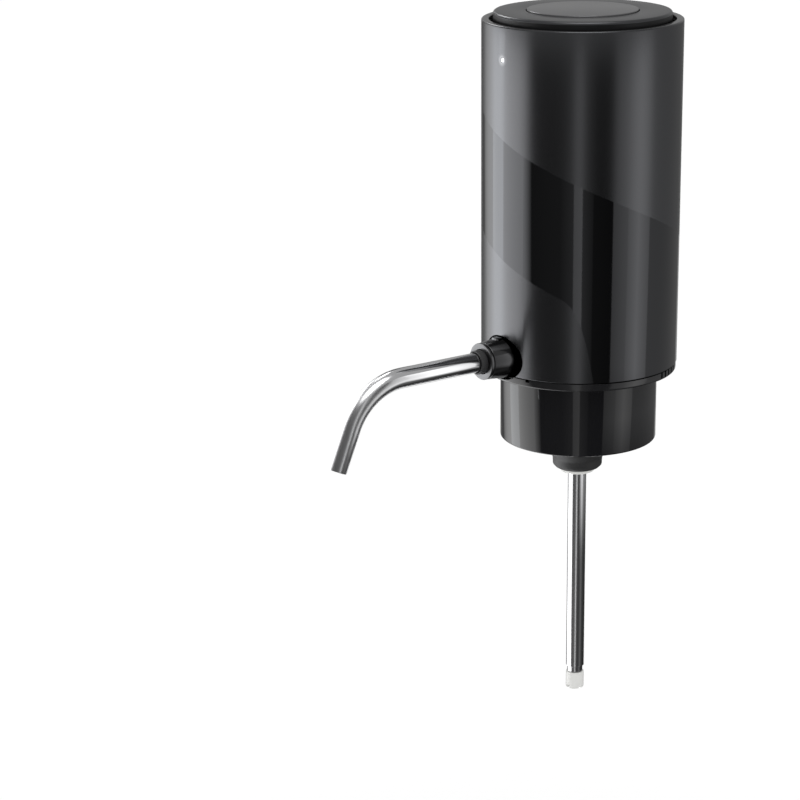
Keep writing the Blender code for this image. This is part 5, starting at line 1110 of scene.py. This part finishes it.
# Screws with a pan head and a cross recess
SHANK_RADIUS = 0.9 * MM
SHANK_TAPER = 0.8 * MM
HEAD_RADIUS = 1.7 * MM
HEAD_HEIGHT = 1.1 * MM
HEAD_ROUND = 0.45 * MM
CROSS_REACH = 1.0 * MM
CROSS_HALF = 0.22 * MM
CROSS_DEPTH = 0.6 * MM
CROSS_TURN = math.pi / 8


def make_screw(node, head_down):
    """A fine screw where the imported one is."""
    low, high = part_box(node)
    middle = centre_of(node)
    length = high.z - low.z
    corners = [
        (0, 0), (HEAD_RADIUS, 0),
        (HEAD_RADIUS, HEAD_HEIGHT), (SHANK_RADIUS, HEAD_HEIGHT),
        (SHANK_RADIUS, length - SHANK_TAPER), (0, length),
    ]
    form = turned(corners, SCREW_STEPS, {1: HEAD_ROUND}, closed=False)
    for turn in (0, math.pi / 2):
        arm = block((-CROSS_REACH, -CROSS_HALF, -OVERRUN), (CROSS_REACH, CROSS_HALF, CROSS_DEPTH))
        form = cut(form, turn_form(arm, turn + CROSS_TURN))
    if head_down:
        move_form(form, (middle.x, middle.y, low.z))
    else:
        turn_form(form, math.pi, "X")
        move_form(form, (middle.x, middle.y, high.z))
    piece(f"{node}_fine", form, ZINC, "housing", "zinc_steel", node)


dress_cad_nodes()
make_shell()
make_base()
make_collar()
make_press_plate()
make_spring()
make_light_pipe()
make_connector()
make_socket()
make_tube()
make_stopper()
make_core()
make_straw()
make_port()
for number in (1, 2, 3):
    make_screw(f"base_screw_{number}", True)
    make_screw(f"collar_screw_{number}", True)


# Studio

# The floor is as low as the drawn-out straw reaches
FLOOR_Z = -285.0 * MM
FLOOR_RADIUS = 30.0
FLOOR_STEPS = 64
FLOOR_WHITE = (0.92, 0.92, 0.92, 1)
FLOOR_ROUGHNESS = 0.9
FLOOR_LIFT = 0.075
PLAIN_WHITE = (1, 1, 1, 1)
AMBIENT = 0.72
GLOSS_SKY = 0.44
SUN_FROM = (0.25, -0.15, 0.85)
SUN_STRENGTH = 1.0
SUN_WIDTH = math.radians(43)


def make_floor():
    floor = make_object("floor", disc_form(FLOOR_RADIUS, FLOOR_STEPS, Matrix.Translation((0, 0, FLOOR_Z))))
    material = bpy.data.materials.new("floor_white")
    material.use_nodes = True
    tree = material.node_tree
    shader = tree.nodes["Principled BSDF"]
    set_inputs(shader, {"Base Color": FLOOR_WHITE, "Roughness": FLOOR_ROUGHNESS})
    set_inputs(shader, {"Specular IOR Level": 0.0, "Emission Color": PLAIN_WHITE})
    lift = times(tree, seen_directly(tree), FLOOR_LIFT)
    tree.links.new(lift, shader.inputs["Emission Strength"])
    # From below the floor is clear, so that it doesn't hide the underside
    behind = tree.nodes.new("ShaderNodeNewGeometry").outputs["Backfacing"]
    tree.links.new(inverse(tree, behind), shader.inputs["Alpha"])
    floor.data.materials.append(material)


def seen_directly(tree):
    """1 for the camera, gloss and glass, and 0 for the light that the floor gives."""
    path = tree.nodes.new("ShaderNodeLightPath")
    seen = math_node(tree, "MAXIMUM", path.outputs["Is Camera Ray"], path.outputs["Is Glossy Ray"])
    return math_node(tree, "MAXIMUM", seen, path.outputs["Is Transmission Ray"])


def light_world():
    """A surround that is white to the camera and to glass, grey to gloss, and lights the object evenly."""
    world = bpy.data.worlds.new("studio")
    bpy.context.scene.world = world
    world.use_nodes = True
    tree = world.node_tree
    path = tree.nodes.new("ShaderNodeLightPath")
    white = math_node(tree, "MAXIMUM", path.outputs["Is Camera Ray"], path.outputs["Is Transmission Ray"])
    seen = weighted_sum(tree, white, 1.0 - AMBIENT, path.outputs["Is Glossy Ray"], GLOSS_SKY - AMBIENT)
    background = tree.nodes["Background"]
    background.inputs["Color"].default_value = PLAIN_WHITE
    tree.links.new(plus(tree, seen, AMBIENT), background.inputs["Strength"])


# Outlines of the studio cards, as radius and height
PANEL_RADIUS = 160.0 * MM
APRON_INNER = 10.0 * MM
CARD_FLOOR = FLOOR_Z + 0.1 * MM
WALL_HIGH = 115.0 * MM
LOW_WALL_HIGH = 50.0 * MM
BAND_CARD_LOW = 175.0 * MM
BAND_CARD_HIGH = 240.0 * MM
APRON = ((APRON_INNER, CARD_FLOOR), (PANEL_RADIUS, CARD_FLOOR))
WALL = ((PANEL_RADIUS, CARD_FLOOR), (PANEL_RADIUS, WALL_HIGH))
WALL_AND_APRON = APRON + WALL[1:]
LOW_WALL = ((PANEL_RADIUS, CARD_FLOOR), (PANEL_RADIUS, LOW_WALL_HIGH))
HIGH_BAND = ((PANEL_RADIUS, BAND_CARD_LOW), (PANEL_RADIUS, BAND_CARD_HIGH))
# A card that fades keeps FADE_LEAST of its glow below FADE_LOW, and all of it above FADE_HIGH
FADE_LOW = -120.0 * MM
FADE_HIGH = -50.0 * MM
FADE_LEAST = 0.1
DEGREES_A_STEP = 2
LEAST_STEPS = 4
NEUTRAL = (1, 1, 1)
COOL_WHITE = (0.97, 0.985, 1.0)


def card_form(start, end, outline):
    """An outline swept round the object, from one azimuth to the other."""
    form = bmesh.new()
    across, forward = math.sin(start), -math.cos(start)
    verts = [form.verts.new((across * radius, forward * radius, height)) for radius, height in outline]
    edges = [form.edges.new(pair) for pair in zip(verts, verts[1:])]
    steps = max(LEAST_STEPS, round(abs(math.degrees(end - start)) / DEGREES_A_STEP))
    spin_form(form, verts + edges, end - start, steps, use_merge=False)
    return form


def card_glow(name, start, end, near, far, tint, fade):
    """A glow from near at start to far at end, dimmed towards the floor where it fades."""
    material = bpy.data.materials.new(name)
    material.use_nodes = True
    tree = material.node_tree
    tree.nodes.remove(tree.nodes["Principled BSDF"])
    glow = tree.nodes.new("ShaderNodeEmission")
    glow.inputs["Color"].default_value = (*tint, 1)
    axes = object_axes(tree)
    # The azimuth is counted from the card's own middle, so that no card meets the jump of half a turn
    middle = (start + end) / 2
    across = weighted_sum(tree, axes["X"], math.cos(middle), axes["Y"], math.sin(middle))
    forward = weighted_sum(tree, axes["X"], math.sin(middle), axes["Y"], -math.cos(middle))
    azimuth = math_node(tree, "ARCTAN2", across, forward)
    strength = ramp_node(tree, azimuth, (start - middle, end - middle), (near, far))
    if fade:
        dim = ramp_node(tree, axes["Z"], (FADE_LOW, FADE_HIGH), (FADE_LEAST, 1.0))
        strength = times(tree, strength, dim)
    tree.links.new(strength, glow.inputs["Strength"])
    tree.links.new(glow.outputs[0], tree.nodes["Material Output"].inputs["Surface"])
    return material


def make_panel(name, start, end, near, far, outline=WALL_AND_APRON, tint=NEUTRAL, fade=False):
    """A curved studio card round the object, seen only in gloss, between two azimuths in degrees."""
    start, end = math.radians(start), math.radians(end)
    card = make_object(name, card_form(start, end, outline))
    card.data.materials.append(card_glow(name, start, end, near, far, tint, fade))
    card.visible_camera = False
    card.visible_diffuse = False
    card.visible_transmission = False
    card.visible_volume_scatter = False
    card.visible_shadow = False


def make_lamp():
    data = bpy.data.lights.new("overhead", "SUN")
    data.energy = SUN_STRENGTH
    data.angle = SUN_WIDTH
    lamp = link_object("overhead", data)
    lamp.location = SUN_FROM
    lamp.rotation_euler = Vector(SUN_FROM).to_track_quat("Z", "Y").to_euler()


def light_studio():
    """Each card has its azimuths in degrees, then its glow at the one and at the other."""
    light_world()
    make_panel("card_left_line", -142, -120, 1.2, 1.2, LOW_WALL)
    make_panel("card_left_back", -120, -104, 0.4, 0.4, WALL)
    make_panel("card_left_edge", -104, -88, 0.12, 0.2)
    make_panel("card_key_rise", -88, -60, 0.1, 2.8)
    make_panel("card_key", -60, -40, 3.9, 4.9, tint=COOL_WHITE)
    make_panel("card_key_side", -40, -11, 3.4, 2.2)
    make_panel("card_key_end", -11, -2, 1.8, 0.2)
    make_panel("card_front_dark", -2, 30, 0.09, 0.12)
    make_panel("card_strip_rise", 30, 44, 0.12, 0.26)
    make_panel("card_strip", 44, 53, 0.76, 0.92)
    make_panel("card_strip_fall", 53, 64, 0.28, 0.13)
    make_panel("card_side_dark", 64, 85, 0.07, 0.05)
    make_panel("card_right_near", 85, 102, 0.5, 0.85, fade=True)
    make_panel("card_right_rise", 102, 115, 1.0, 1.6, fade=True)
    make_panel("card_right_fall", 115, 130, 1.6, 0.95, fade=True)
    make_panel("card_right_far", 130, 200, 0.55, 0.15, fade=True)
    make_panel("card_back", 200, 218, 0.35, 0.4, WALL)
    make_panel("card_floor_back", 200, 256, 0.12, 0.12, APRON)
    make_panel("card_bevel", -95, -66, 6.0, 6.0, HIGH_BAND)
    make_lamp()


# Camera, at the photograph's angle
CAMERA_AZIMUTH = math.radians(50.632)
CAMERA_YAW = math.radians(4.336)
CAMERA_PITCH = math.radians(16.679)
CAMERA_ROLL = math.radians(-0.561)
CAMERA_DISTANCE = 764.48 * MM
CAMERA_HEIGHT = 221.32 * MM
CAMERA_LENS = 110.33
CAMERA_SENSOR = 36
CAMERA_NEAREST = 10.0 * MM


def place_camera():
    data = bpy.data.cameras.new("photo_camera")
    data.sensor_fit = "HORIZONTAL"
    data.sensor_width = CAMERA_SENSOR
    data.lens = CAMERA_LENS
    data.clip_start = CAMERA_NEAREST
    camera = link_object("photo_camera", data)
    away = Vector((math.sin(CAMERA_AZIMUTH), -math.cos(CAMERA_AZIMUTH), 0))
    level = Matrix.Rotation(CAMERA_YAW, 3, "Z") @ -away
    view = level * math.cos(CAMERA_PITCH) - Vector((0, 0, math.sin(CAMERA_PITCH)))
    right = Vector((level.y, -level.x, 0))
    up = right.cross(view)
    across = right * math.cos(CAMERA_ROLL) + up * math.sin(CAMERA_ROLL)
    upward = up * math.cos(CAMERA_ROLL) - right * math.sin(CAMERA_ROLL)
    turn = Matrix((across, upward, -view)).transposed().to_4x4()
    camera.matrix_world = Matrix.Translation(away * CAMERA_DISTANCE + Vector((0, 0, CAMERA_HEIGHT))) @ turn
    bpy.context.scene.camera = camera


make_floor()
light_studio()
place_camera()
bpy.context.scene.view_settings.view_transform = "Standard"
